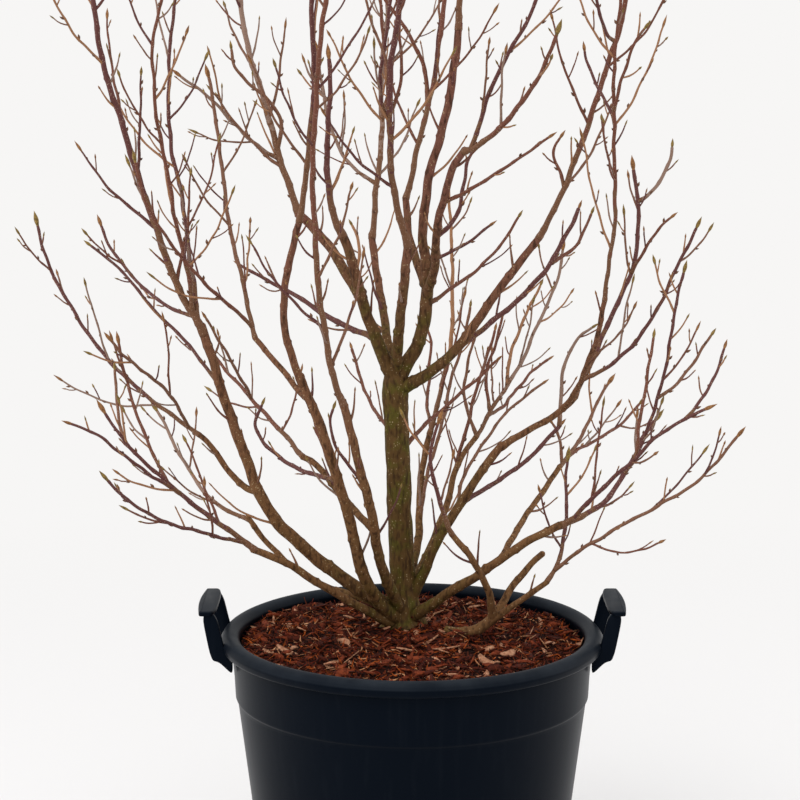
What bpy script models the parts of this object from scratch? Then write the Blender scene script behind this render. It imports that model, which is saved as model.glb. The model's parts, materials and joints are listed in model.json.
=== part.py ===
"""A potted magnolia shrub in winter: trunk, boughs and masses of bare budded twigs in a two-handled pot.

Metres, +Z up. The origin is the centre of the pot's flat underside, and -Y is the side that faces the viewer.
Limb sizes are given in millimetres and degrees, as they are measured on the shrub.
"""

import math
import random
from collections import namedtuple

import bmesh
import bpy
import numpy as np
from mathutils import Matrix

MM = 0.001
CLEAR = 0.0003

POT_HEIGHT = 0.380
RIM_RADIUS = 0.225
RIM_INNER_RADIUS = 0.2030
ROLL_RADIUS = (RIM_RADIUS - RIM_INNER_RADIUS) / 2
BAND_TOP_RADIUS = 0.2125
BAND_FOOT_RADIUS = 0.2085
BAND_FOOT_HEIGHT = 0.303
BAND_STEP = 0.002
BASE_RADIUS = 0.169
BASE_ROUND = 0.004
WALL = 0.004
FLOOR = 0.005
POT_STEPS = 36

MOUND_TOP = 0.3725
MOUND_EDGE = 0.3645
MOUND_FLAT_RADIUS = 0.125
SOIL_LIP_DROP = 0.014
THROAT_DROP = 0.003

HANDLE_LENGTH = 0.110
GRIP_INNER = 0.2275
GRIP_OUTER = 0.2505
GRIP_TOP = 0.4145
GRIP_THICKNESS = 0.0050
GRIP_BULGE = 0.0040
LEG_WIDTH = 0.0165
LEG_THICKNESS = 0.0060
LEG_INSET = 0.0030
LEG_LEAN = 0.0105
FOOT_HEIGHT = 0.3555
FOOT_DROP = 0.015

TRUNK_X = -0.0100
TRUNK_Y = 0.040
TRUNK_TIP = (-0.0205, 0.040, 0.6810)
TRUNK_SIDES = 10
TRUNK_RADIUS = 0.0142
FLARE_WIDTH = 0.0130
FLARE_HEIGHT = 0.022
FORK_SWELL = 0.0012

BOUGH_SIDES = 6
LEADER_SIDES = 4
TWIG_SIDES = 3
TIP_RADIUS = 0.0004

BOUGH_POINTS = 9
LEADER_POINTS = 10
ARM_POINTS = 7
SWAY = 0.006

# Buds are given as length and radius, with the belly at a share of the length.
LEADER_BUD = (0.020, 0.0042)
ARM_BUD = (0.017, 0.0034)
TWIG_BUD_LENGTH = (0.011, 0.017)
TWIG_BUD_RADIUS = (0.0021, 0.0028)
BUD_BELLY = 0.38

TWIG_SPACING = 0.072
TWIG_SHORTEST = 0.040
TWIG_LONGEST = 0.125
TWIG_REACH_SHARE = 0.28
TWIG_FIRST_SHARE = 0.06
TWIG_SHARE_SPAN = 0.88
TWIG_SLANT = (36, 52)
TWIG_RISE = (0.5, 0.9)
TWIG_ROOT_RADII = (0.0013, 0.0021)
TWIG_END_RADIUS = 0.0010
TWIG_ROOM = 0.0016
LOWEST_TWIG = 0.430
SIBLING_REACH = 0.045
GOLDEN_TURN = math.radians(137.5)

Limb = namedtuple("Limb", "name parent share tip leave arrive thick grip", defaults=((0.35, 0.35),))

# A limb leaves its parent at a share of the parent's length. Its tip is (right, back, up) in mm.
# Leave and arrive are its slopes seen from the front: 0 points right, 90 up and 180 left.
# Thick is its diameter in mm where it leaves and at its tip, and grip says how stiffly it keeps each slope.
BOUGHS = (
    Limb("left_leader", "trunk", 0.95, (-81, 10, 845), 120, 110, (16.0, 10.4)),
    Limb("left_back", "left_leader", 0.60, (-136, 90, 861), 130, 145, (12.5, 10.0)),
    Limb("right_leader", "trunk", 0.93, (17, 30, 808), 60, 95, (16.0, 13.5), (0.30, 0.50)),
    Limb("back_leader", "trunk", 0.97, (-50, 180, 826), 105, 100, (11.0, 8.6)),
    Limb("middle_leader", "trunk", 0.98, (-6, -60, 839), 85, 85, (13.0, 9.5)),
    Limb("right_top", "right_leader", 0.97, (53, 30, 1085), 105, 86, (11.4, 8.6), (0.30, 0.50)),
    Limb("right_inner", "right_leader", 0.86, (-8, 95, 880), 120, 95, (10.0, 8.0)),
    Limb("right_outer", "right_leader", 0.80, (56, -100, 947), 75, 55, (10.5, 7.6)),
    Limb("right_arc", "trunk", 0.89, (145, -30, 846), 25, 50, (13.6, 7.9)),
    Limb("right_low_arc", "trunk", 0.17, (107, 30, 594), 65, 50, (13.1, 9.4)),
    Limb("right_low_rise", "right_low_arc", 0.98, (193, 40, 650), 32, 50, (7.9, 7.4)),
    Limb("right_side", "right_low_rise", 0.80, (215, -80, 781), 60, 80, (6.4, 5.6)),
    Limb("right_lowest", "trunk", 0.06, (169, -60, 519), 38, 30, (12.4, 8.6)),
    Limb("right_low_back", "right_lowest", 0.65, (181, 120, 551), 50, 55, (7.6, 6.1)),
    Limb("right_back", "trunk", 0.36, (81, 180, 577), 30, 45, (9.5, 6.4)),
    Limb("back_low", "trunk", 0.30, (24, 220, 577), 60, 70, (10.5, 7.6)),
    Limb("sucker_upright", "sucker_foot", 0.94, (44, -80, 513), 95, 130, (9.0, 6.6)),
    Limb("sucker_stub", "sucker_foot", 0.90, (155, 20, 465), 50, 35, (9.2, 7.4)),
    Limb("sucker_right", "sucker_foot", 0.86, (156, -58, 451), 40, 40, (8.2, 6.0)),
    Limb("left_arc", "trunk", 0.12, (-241, -20, 743), 146, 106, (16.7, 10.3), (0.50, 0.50)),
    Limb("left_side", "left_arc", 0.55, (-249, 20, 609), 175, 145, (7.4, 6.2)),
    Limb("front_left", "trunk", 0.07, (-124, -110, 696), 150, 115, (15.5, 10.0), (0.20, 0.35)),
    Limb("front_left_rise", "front_left", 0.98, (-120, -170, 878), 112, 75, (8.5, 7.2), (0.50, 0.30)),
    Limb("left_inner", "front_left", 0.93, (-180, -30, 731), 170, 135, (7.0, 6.0), (0.20, 0.35)),
    Limb("front_middle", "trunk", 0.10, (-77, -130, 675), 110, 105, (13.1, 8.8)),
    Limb("left_back_low", "front_middle", 0.45, (-131, 60, 574), 160, 160, (8.6, 7.2)),
    Limb("left_lowest", "trunk", 0.035, (-183, -70, 492), 165, 160, (10.7, 8.0), (0.20, 0.35)),
    Limb("left_low_back", "trunk", 0.14, (-202, 140, 484), 160, 120, (8.3, 6.4), (0.30, 0.50)),
)

# The sucker's foot comes out of the mulch beside the trunk, lies on it and turns up.
SUCKER_START = (40, 2, 376)
SUCKER_FOOT = Limb("sucker_foot", None, 0.0, (97, -20, 401), -8, 65, (12.6, 12.8))

# Each mass's leader goes on from its bough's tip, and its arms leave the leader.
LEADERS = (
    Limb("left_leader", "left_leader", 0.98, (-94, -20, 1043), 118, 95, (8.4, 4.6)),
    Limb("left_back", "left_back", 0.98, (-232, 200, 1290), 112, 97, (8.2, 4.2)),
    Limb("back_leader", "back_leader", 0.98, (-25, 300, 1350), 85, 90, (7.2, 3.8)),
    Limb("middle_leader", "middle_leader", 0.98, (14, -200, 1360), 110, 95, (7.8, 3.8)),
    Limb("right_top", "right_top", 0.98, (67, 20, 1530), 88, 90, (7.2, 3.8)),
    Limb("right_inner", "right_inner", 0.98, (51, 160, 1410), 75, 90, (6.8, 3.6)),
    Limb("right_outer", "right_outer", 0.98, (146, -220, 1070), 25, 70, (6.4, 3.8)),
    Limb("right_arc", "right_arc", 0.98, (262, -100, 1330), 60, 80, (6.7, 4.0), (0.35, 0.20)),
    Limb("right_low_rise", "right_low_rise", 0.98, (262, 100, 912), 65, 108, (6.3, 4.4)),
    Limb("right_side", "right_side", 0.98, (217, -200, 1168), 85, 85, (4.8, 3.2)),
    Limb("right_lowest", "right_lowest", 0.98, (282, 0, 629), 10, 50, (7.0, 4.0), (0.50, 0.30)),
    Limb("right_low_back", "right_low_back", 0.98, (249, 240, 632), 30, 55, (5.2, 3.6)),
    Limb("right_back", "right_back", 0.98, (197, 320, 796), 55, 80, (5.4, 3.6)),
    Limb("back_low", "back_low", 0.98, (50, 370, 870), 70, 95, (6.4, 3.6)),
    Limb("sucker_upright", "sucker_upright", 0.98, (28, -130, 649), 112, 70, (5.6, 3.2)),
    Limb("sucker_right", "sucker_right", 0.98, (179, -20, 585), 55, 80, (5.0, 3.2), (0.50, 0.30)),
    Limb("left_arc", "left_arc", 0.98, (-376, -50, 1300), 118, 97, (8.6, 4.2)),
    Limb("left_side", "left_side", 0.98, (-442, 80, 850), 148, 100, (5.2, 3.4)),
    Limb("front_left_rise", "front_left_rise", 0.98, (-86, -250, 1300), 80, 82, (6.2, 3.8)),
    Limb("left_inner", "left_inner", 0.98, (-241, 120, 1020), 108, 100, (5.2, 4.0)),
    Limb("front_middle", "front_middle", 0.98, (-72, -260, 1320), 115, 86, (7.4, 3.8), (0.20, 0.35)),
    Limb("left_back_low", "left_back_low", 0.98, (-253, 220, 678), 140, 130, (6.0, 3.6)),
    Limb("left_lowest", "left_lowest", 0.98, (-341, -120, 659), 138, 120, (6.6, 3.2)),
    Limb("left_low_back", "left_low_back", 0.98, (-324, 260, 596), 170, 125, (5.4, 3.6), (0.50, 0.30)),
)
ARMS = (
    Limb("left_back", "left_back", 0.15, (-276, 140, 1020), 160, 148, (4.8, 3.4), (0.30, 0.50)),
    Limb("back_leader", "back_leader", 0.12, (-119, 260, 1050), 160, 100, (4.8, 3.4)),
    Limb("middle_leader", "middle_leader", 0.28, (-22, -110, 1140), 140, 90, (4.6, 3.2), (0.20, 0.35)),
    Limb("right_outer", "right_outer", 0.06, (145, -150, 1170), 80, 85, (5.2, 3.2)),
    Limb("right_low_rise", "right_low_rise", 0.08, (330, 30, 848), 20, 62, (5.0, 3.6)),
    Limb("right_lowest", "right_lowest", 0.05, (318, -150, 668), 48, 25, (5.6, 3.4)),
    Limb("right_lowest", "right_lowest", 0.55, (298, -90, 812), 60, 80, (4.4, 3.2)),
    Limb("right_low_back", "right_low_back", 0.12, (292, 250, 604), 20, 50, (4.2, 3.4)),
    Limb("sucker_right", "sucker_right", 0.08, (354, -140, 634), 50, 62, (4.4, 3.2)),
    Limb("left_arc", "left_arc", 0.05, (-265, -120, 1119), 90, 68, (5.0, 3.2)),
    Limb("left_arc", "left_arc", 0.03, (-255, 60, 1205), 95, 76, (5.6, 3.4), (0.30, 0.50)),
    Limb("left_arc", "left_arc", 0.04, (-364, 60, 850), 170, 110, (4.4, 3.2)),
    Limb("left_side", "left_side", 0.05, (-334, -100, 736), 105, 125, (4.2, 3.2), (0.50, 0.30)),
    Limb("left_inner", "left_inner", 0.04, (-298, -140, 935), 130, 95, (4.4, 3.2)),
    Limb("left_lowest", "left_lowest", 0.06, (-326, -220, 602), 152, 125, (4.4, 3.2)),
    Limb("left_lowest", "left_lowest", 0.55, (-334, -40, 724), 122, 100, (3.8, 3.2)),
)


def new_material(name, colour, roughness):
    """A plain material of the part's own colour."""
    material = bpy.data.materials.new(name)
    material.use_nodes = True
    shader = material.node_tree.nodes["Principled BSDF"]
    shader.inputs["Base Color"].default_value = (*colour, 1)
    shader.inputs["Roughness"].default_value = roughness
    shader.inputs["Metallic"].default_value = 0
    return material


def clear_scene():
    """Empties the file of its objects."""
    for item in list(bpy.data.objects):
        bpy.data.objects.remove(item, do_unlink=True)


def new_collection(name):
    """A collection under the scene's own."""
    found = bpy.data.collections.new(name)
    bpy.context.scene.collection.children.link(found)
    return found


def evaluated_mesh(item):
    """The object's mesh with its modifiers worked out."""
    graph = bpy.context.evaluated_depsgraph_get()
    return bpy.data.meshes.new_from_object(item.evaluated_get(graph))


def welded(mesh):
    """Welds a mesh's caps to its sides and turns its faces outwards."""
    work = bmesh.new()
    work.from_mesh(mesh)
    bmesh.ops.remove_doubles(work, verts=work.verts, dist=1e-6)
    bmesh.ops.recalc_face_normals(work, faces=work.faces)
    work.to_mesh(mesh)
    work.free()
    return mesh


def largest_body(mesh):
    """Drops the loose scraps that a cut leaves."""
    work = bmesh.new()
    work.from_mesh(mesh)
    waiting = set(work.verts)
    bodies = []
    while waiting:
        front = [waiting.pop()]
        body = list(front)
        while front:
            for edge in front.pop().link_edges:
                for point in edge.verts:
                    if point in waiting:
                        waiting.discard(point)
                        front.append(point)
                        body.append(point)
        bodies.append(body)
    bodies.sort(key=len)
    scraps = [point for body in bodies[:-1] for point in body]
    bmesh.ops.delete(work, geom=scraps, context="VERTS")
    work.to_mesh(mesh)
    work.free()
    return mesh


def swap_mesh(item, mesh):
    """Gives the object a finished mesh in place of its modifiers."""
    item.modifiers.clear()
    item.data = mesh


def section(sides):
    """A guide curve: the round section of a limb, one metre in radius, with so many sides."""
    name = f"section_{sides}"
    if name in bpy.data.objects:
        return bpy.data.objects[name]
    outline = bpy.data.curves.new(name, "CURVE")
    outline.dimensions = "2D"
    ring = outline.splines.new("POLY")
    ring.points.add(sides - 1)
    for index, point in enumerate(ring.points):
        turn = 2 * math.pi * index / sides
        point.co = (math.cos(turn), math.sin(turn), 0, 1)
    ring.use_cyclic_u = True
    guide = bpy.data.objects.new(name, outline)
    guide.hide_render = True
    cutters.objects.link(guide)
    return guide


def tube(name, points, radii, sides):
    """A limb as a curve with filled caps, made a mesh."""
    curve = bpy.data.curves.new(name, "CURVE")
    curve.dimensions = "3D"
    curve.bevel_mode = "OBJECT"
    curve.bevel_object = section(sides)
    curve.use_fill_caps = True
    spline = curve.splines.new("POLY")
    spline.points.add(len(points) - 1)
    for place, centre, radius in zip(spline.points, points, radii):
        place.co = (*centre, 1)
        place.radius = radius
    holder = bpy.data.objects.new(name + "_curve", curve)
    cutters.objects.link(holder)
    mesh = welded(evaluated_mesh(holder))
    bpy.data.objects.remove(holder)
    return mesh


def new_part(name, mesh, material, home):
    """A named object of the finished mesh."""
    item = bpy.data.objects.new(name, mesh)
    item.data.materials.clear()
    item.data.materials.append(material)
    home.objects.link(item)
    return item


def cut(item, helpers):
    """Cuts the helpers from the object one by one and keeps its largest body."""
    for helper in helpers:
        step = item.modifiers.new("fork", "BOOLEAN")
        step.operation = "DIFFERENCE"
        step.solver = "EXACT"
        step.object = helper
        swap_mesh(item, evaluated_mesh(item))
    largest_body(item.data)


def fuse(item, twigs):
    """Joins the objects of a collection to the object in one union."""
    together = new_collection(item.name + "_pieces")
    for twig in twigs:
        together.objects.link(twig)
    step = item.modifiers.new("fuse", "BOOLEAN")
    step.operation = "UNION"
    step.operand_type = "COLLECTION"
    step.collection = together
    step.solver = "MANIFOLD"
    swap_mesh(item, evaluated_mesh(item))
    for twig in twigs:
        bpy.data.objects.remove(twig)
    bpy.data.collections.remove(together)
    largest_body(item.data)


def direction(slope):
    """The unit step of a slope seen from the front."""
    return np.array((math.cos(math.radians(slope)), math.sin(math.radians(slope))))


def course(limb, start, count):
    """The limb's centre line: a cubic seen from the front, its depth taken up early, with a seeded sway."""
    share = np.linspace(0, 1, count)[:, None]
    tip = np.array(limb.tip) * MM
    near = start[[0, 2]]
    far = tip[[0, 2]]
    reach = np.linalg.norm(far - near)
    first = near + direction(limb.leave) * reach * limb.grip[0]
    second = far - direction(limb.arrive) * reach * limb.grip[1]
    back = 1 - share
    flat = back**3 * near + 3 * back**2 * share * first + 3 * back * share**2 * second + share**3 * far
    depth = start[1] + (tip[1] - start[1]) * (1 - back**1.4)
    draw = random.Random(limb.name + str(limb.tip[2]))
    sway = SWAY * np.linalg.norm(tip - start) * np.sin(math.pi * share)
    side = np.sin(2 * math.pi * (draw.uniform(1.2, 2.2) * share + draw.random()))
    rear = np.sin(2 * math.pi * (draw.uniform(1.2, 2.2) * share + draw.random()))
    return np.hstack([flat[:, :1] + sway * side, depth + sway * rear, flat[:, 1:]])


def radii_of(limb, count):
    """Radii along the limb, in metres."""
    return np.linspace(limb.thick[0], limb.thick[1], count) / 2 * MM


def place_on(points, share):
    """The point at a share of a limb's points."""
    along = share * (len(points) - 1)
    index = min(int(along), len(points) - 2)
    return points[index] + (points[index + 1] - points[index]) * (along - index)


def fattened(name, points, radii, sides):
    """A cutter: the limb, larger by the clearance all round."""
    grown = points.copy()
    ends = ((0, 1), (len(points) - 1, len(points) - 2))
    for end, inner in ends:
        step = points[end] - points[inner]
        grown[end] += step / np.linalg.norm(step) * CLEAR
    mesh = tube(name + "_cut", grown, radii + CLEAR / math.cos(math.pi / sides), sides)
    cutter = bpy.data.objects.new(name + "_cut", mesh)
    cutter.hide_render = True
    cutter.display_type = "WIRE"
    cutters.objects.link(cutter)
    return cutter


def screw_part(name, profile, material):
    """A turned piece from a profile that runs down its outer side."""
    mesh = bpy.data.meshes.new(name)
    edges = [(index, index + 1) for index in range(len(profile) - 1)]
    mesh.from_pydata([(radius, 0, height) for radius, height in profile], edges, [])
    item = new_part(name, mesh, material, shrub)
    turn = item.modifiers.new("turn", "SCREW")
    turn.steps = POT_STEPS
    turn.render_steps = POT_STEPS
    turn.use_merge_vertices = True
    turn.merge_threshold = 1e-5
    swap_mesh(item, welded(evaluated_mesh(item)))
    item.data.shade_smooth()
    item.data.set_sharp_from_angle(angle=math.radians(35))
    return item


def wall_radius(height):
    """The pot's outer radius below the step under its upper band."""
    top = BAND_FOOT_RADIUS - BAND_STEP
    return BASE_RADIUS + (top - BASE_RADIUS) * height / BAND_FOOT_HEIGHT


def inner_radius(height):
    """The pot's inner radius, one wall inside."""
    return wall_radius(height) - WALL


def build_pot(material):
    """The pot: a rolled rim, a slightly wider band under it and a tapering wall on a flat base."""
    roll_x = RIM_RADIUS - ROLL_RADIUS
    roll_z = POT_HEIGHT - ROLL_RADIUS
    roll = []
    for step in range(7):
        turn = math.pi - math.pi * 7 / 6 * step / 6
        roll.append((roll_x + ROLL_RADIUS * math.cos(turn), roll_z + ROLL_RADIUS * math.sin(turn)))
    lip = POT_HEIGHT - SOIL_LIP_DROP - ROLL_RADIUS
    profile = [(0, FLOOR), (inner_radius(FLOOR), FLOOR), (inner_radius(lip), lip)]
    profile += roll
    profile += [
        (BAND_TOP_RADIUS, POT_HEIGHT - 2 * ROLL_RADIUS),
        (BAND_FOOT_RADIUS, BAND_FOOT_HEIGHT),
        (BAND_FOOT_RADIUS - BAND_STEP, BAND_FOOT_HEIGHT - BAND_STEP),
        (wall_radius(BASE_ROUND), BASE_ROUND),
        (BASE_RADIUS - BASE_ROUND, 0),
        (0, 0),
    ]
    return screw_part("pot", profile, material)


def build_mulch(material):
    """The soil that fills the pot, under a low mound of bark mulch."""
    lip = POT_HEIGHT - SOIL_LIP_DROP - ROLL_RADIUS
    neck = POT_HEIGHT - ROLL_RADIUS
    throat_radius = (inner_radius(lip) + RIM_INNER_RADIUS) / 2
    profile = [
        (0, MOUND_TOP),
        (MOUND_FLAT_RADIUS, MOUND_TOP),
        ((MOUND_FLAT_RADIUS + RIM_INNER_RADIUS) / 2, (2 * MOUND_TOP + MOUND_EDGE) / 3),
        (RIM_INNER_RADIUS - 3 * CLEAR, MOUND_EDGE),
        (throat_radius - 3 * CLEAR, (lip + neck) / 2 - THROAT_DROP),
        (inner_radius(lip) - 2 * CLEAR, lip - 2 * CLEAR),
        (inner_radius(FLOOR) - 2 * CLEAR, FLOOR + CLEAR),
        (0, FLOOR + CLEAR),
    ]
    return screw_part("mulch", profile, material)


def swell(mesh):
    """Grows a mesh by the clearance along its normals."""
    work = bmesh.new()
    work.from_mesh(mesh)
    work.normal_update()
    for point in work.verts:
        point.co += point.normal * CLEAR * 1.1
    work.to_mesh(mesh)
    work.free()


def ground_block():
    """A block under the mulch's flat top, higher by the clearance."""
    mesh = bpy.data.meshes.new("ground_cut")
    work = bmesh.new()
    bmesh.ops.create_cube(work, size=0.3)
    bmesh.ops.translate(work, verts=work.verts, vec=(0, 0, MOUND_TOP + CLEAR - 0.15))
    work.to_mesh(mesh)
    work.free()
    return mesh


def leg_outline():
    """A handle leg seen from the front: it leans out from under the rim, with a gusset back to the wall."""
    top = GRIP_TOP - GRIP_THICKNESS / 2
    outer_top = GRIP_INNER + LEG_WIDTH
    outer_foot = outer_top - LEG_LEAN
    return [
        (GRIP_INNER, top),
        (GRIP_INNER - LEG_LEAN, FOOT_HEIGHT + 0.010),
        (BAND_TOP_RADIUS - 0.010, FOOT_HEIGHT + 0.004),
        (BAND_TOP_RADIUS - 0.012, FOOT_HEIGHT - FOOT_DROP),
        (BAND_TOP_RADIUS - 0.001, FOOT_HEIGHT - FOOT_DROP),
        (outer_foot - 0.010, FOOT_HEIGHT - 0.003),
        (outer_foot, FOOT_HEIGHT),
        (outer_top, top),
    ]


def extruded(name, outline, thickness):
    """A flat outline in the XZ plane, thickened to both sides."""
    curve = bpy.data.curves.new(name, "CURVE")
    curve.dimensions = "2D"
    curve.fill_mode = "BOTH"
    curve.extrude = thickness / 2
    spline = curve.splines.new("POLY")
    spline.points.add(len(outline) - 1)
    for point, (across, up) in zip(spline.points, outline):
        point.co = (across, up, 0, 1)
    spline.use_cyclic_u = True
    holder = bpy.data.objects.new(name, curve)
    cutters.objects.link(holder)
    mesh = welded(evaluated_mesh(holder))
    bpy.data.objects.remove(holder)
    return mesh


def build_handle(name, side, material, pot_cutter):
    """A strap handle: two leaning legs from under the rim and a flat grip bowed outwards on their tops."""
    half = HANDLE_LENGTH / 2
    plan = [(GRIP_INNER, -half), (GRIP_OUTER - 0.005, -half), (GRIP_OUTER - GRIP_BULGE, -half + 0.004)]
    for share in (-0.5, 0.0, 0.5):
        plan.append((GRIP_OUTER - GRIP_BULGE * share**2, half * share))
    plan += [(GRIP_OUTER - GRIP_BULGE, half - 0.004), (GRIP_OUTER - 0.005, half), (GRIP_INNER, half)]
    grip = extruded(name, plan, GRIP_THICKNESS)
    grip.transform(Matrix.Translation((0, 0, GRIP_TOP - GRIP_THICKNESS / 2)))
    item = new_part(name, grip, material, shrub)
    legs = []
    stood_up = Matrix.Rotation(math.radians(90), 4, "X")
    for place in (-1, 1):
        mesh = extruded(name + "_leg", leg_outline(), LEG_THICKNESS)
        along = place * (half - LEG_INSET - LEG_THICKNESS / 2)
        mesh.transform(Matrix.Translation((0, along, 0)) @ stood_up)
        legs.append(bpy.data.objects.new(name + "_leg", mesh))
    fuse(item, legs)
    if side < 0:
        item.data.transform(Matrix.Scale(-1, 4, (1, 0, 0)))
        item.data.flip_normals()
    cut(item, [pot_cutter])
    return item


class Room:
    """The space that finished limbs take up, as balls strung along them."""

    def __init__(self):
        self.centres = np.empty((0, 3))
        self.radii = np.empty(0)
        self.owners = np.empty(0, object)

    def take(self, owner, points, radii):
        """Adds a limb."""
        centres, sizes = strung(points, radii)
        self.centres = np.vstack([self.centres, centres])
        self.radii = np.append(self.radii, sizes)
        self.owners = np.append(self.owners, np.full(len(sizes), owner, object))

    def gap(self, points, radii, carrier):
        """The least distance from the limb's skin to any other than its carrier."""
        centres, sizes = strung(points, radii)
        others = self.owners != carrier
        apart = np.linalg.norm(self.centres[others][None] - centres[:, None], axis=2)
        return (apart - self.radii[others][None] - sizes[:, None]).min()


def strung(points, radii, step=0.003):
    """Points and radii at even steps along a limb."""
    lengths = np.linalg.norm(np.diff(points, axis=0), axis=1)
    along = np.append(0, np.cumsum(lengths))
    places = np.linspace(0, along[-1], max(3, int(along[-1] / step)))
    centres = np.stack([np.interp(places, along, points[:, axis]) for axis in range(3)], axis=1)
    return centres, np.interp(places, along, radii)


def with_bud(points, radii, length, radius):
    """Adds a slender bud to the end of a limb: a waist, a belly and a point."""
    step = points[-1] - points[-2]
    step = step / np.linalg.norm(step)
    ends = [points[-1] + step * length * share for share in (BUD_BELLY, 1.0)]
    return np.vstack([points, ends]), np.append(radii, (radius, TIP_RADIUS))


def trunk_course():
    """The trunk's centre line and radii: a flat foot, a root flare, a slight lean and a knobby fork."""
    share = np.array((0, 0.02, 0.05, 0.09, 0.15, 0.25, 0.40, 0.55, 0.70, 0.84, 0.94, 1.0))
    foot = MOUND_TOP + CLEAR
    height = foot + (TRUNK_TIP[2] - foot) * share
    lean = np.maximum(share - 0.03, 0)
    across = TRUNK_X + (TRUNK_TIP[0] - TRUNK_X) * lean / lean[-1]
    radii = TRUNK_RADIUS + FLARE_WIDTH * np.exp(-(height - foot) / FLARE_HEIGHT)
    radii += FORK_SWELL * np.exp(-(((share - 0.92) / 0.06) ** 2))
    radii[-1] *= 0.72
    return np.stack([across, np.full(len(share), TRUNK_Y), height], axis=1), radii


def twig_course(carrier, radii, share, turn, draw):
    """A twig that leaves its carrier at a slant and bends upwards, with its radii."""
    root = place_on(carrier, share)
    ahead = place_on(carrier, min(share + 0.02, 1)) - place_on(carrier, share - 0.02)
    ahead /= np.linalg.norm(ahead)
    aside = np.cross(ahead, (0.31, 0.17, 0.94))
    aside /= np.linalg.norm(aside)
    across = math.cos(turn) * aside + math.sin(turn) * np.cross(ahead, aside)
    slant = math.radians(draw.uniform(*TWIG_SLANT))
    leave = math.cos(slant) * ahead + math.sin(slant) * across
    arrive = leave + ahead * 0.35 + np.array((0, 0, draw.uniform(*TWIG_RISE)))
    arrive /= np.linalg.norm(arrive)
    room_left = np.linalg.norm(carrier[-1] - root)
    length = draw.uniform(0.75, 1.25) * (TWIG_SHORTEST + TWIG_REACH_SHARE * room_left)
    length = min(max(length, TWIG_SHORTEST), TWIG_LONGEST)
    middle = root + leave * length * 0.5
    tip = middle + arrive * length * 0.5
    steps = np.array((0, 0.35, 0.7, 1.0))[:, None]
    points = (1 - steps) ** 2 * root + 2 * (1 - steps) * steps * middle + steps**2 * tip
    carrier_radius = np.interp(share, (0, 1), (radii[0], radii[-1]))
    thickest = np.clip(0.55 * carrier_radius, *TWIG_ROOT_RADII)
    sizes = np.linspace(thickest, TWIG_END_RADIUS, len(points))
    bud = (draw.uniform(*TWIG_BUD_LENGTH), draw.uniform(*TWIG_BUD_RADIUS))
    return with_bud(points, sizes, *bud)


def lay_out_mass(limb, bough_points):
    """The centre lines of a mass's leader, from its bough's tip, and of its arms, each with a bud."""
    leader = course(limb, place_on(bough_points, limb.share), LEADER_POINTS)
    radii = radii_of(limb, LEADER_POINTS)
    carriers = [("leader " + limb.name, *with_bud(leader, radii, *LEADER_BUD))]
    for arm in ARMS:
        if arm.name == limb.name:
            points = course(arm, place_on(leader, arm.share), ARM_POINTS)
            owner = f"arm {len(carriers)} {arm.name}"
            carriers.append((owner, *with_bud(points, radii_of(arm, ARM_POINTS), *ARM_BUD)))
    for carrier in carriers:
        room.take(*carrier)
    return carriers


def grow_mass(limb, carriers, bough_cutter, material):
    """One mass: the twigs that branch from its leader and arms by a seeded rule, fused to them."""
    pieces = [tube(limb.name, points, radii, LEADER_SIDES) for _, points, radii in carriers]
    draw = random.Random("twigs of " + limb.name)
    for carrier, points, radii in carriers:
        line, widths = points[:-2], radii[:-2]
        length = np.linalg.norm(np.diff(line, axis=0), axis=1).sum()
        count = int(length / TWIG_SPACING)
        turn = draw.uniform(0, 2 * math.pi)
        for index in range(count):
            turn += GOLDEN_TURN
            share = TWIG_FIRST_SHARE + TWIG_SHARE_SPAN * (index + draw.uniform(0.35, 0.65)) / count
            twig, twig_radii = twig_course(line, widths, share, turn, draw)
            apart = room.gap(twig[1:], twig_radii[1:], carrier)
            if apart < TWIG_ROOM or twig[:, 2].min() < LOWEST_TWIG:
                continue
            room.take("twig " + limb.name, twig[1:], twig_radii[1:])
            pieces.append(tube(limb.name, twig, twig_radii, TWIG_SIDES))
    item = new_part("twigs_" + limb.name, pieces[0], material, shrub)
    fuse(item, [bpy.data.objects.new("piece", piece) for piece in pieces[1:]])
    cut(item, [bough_cutter])
    return item


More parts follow.
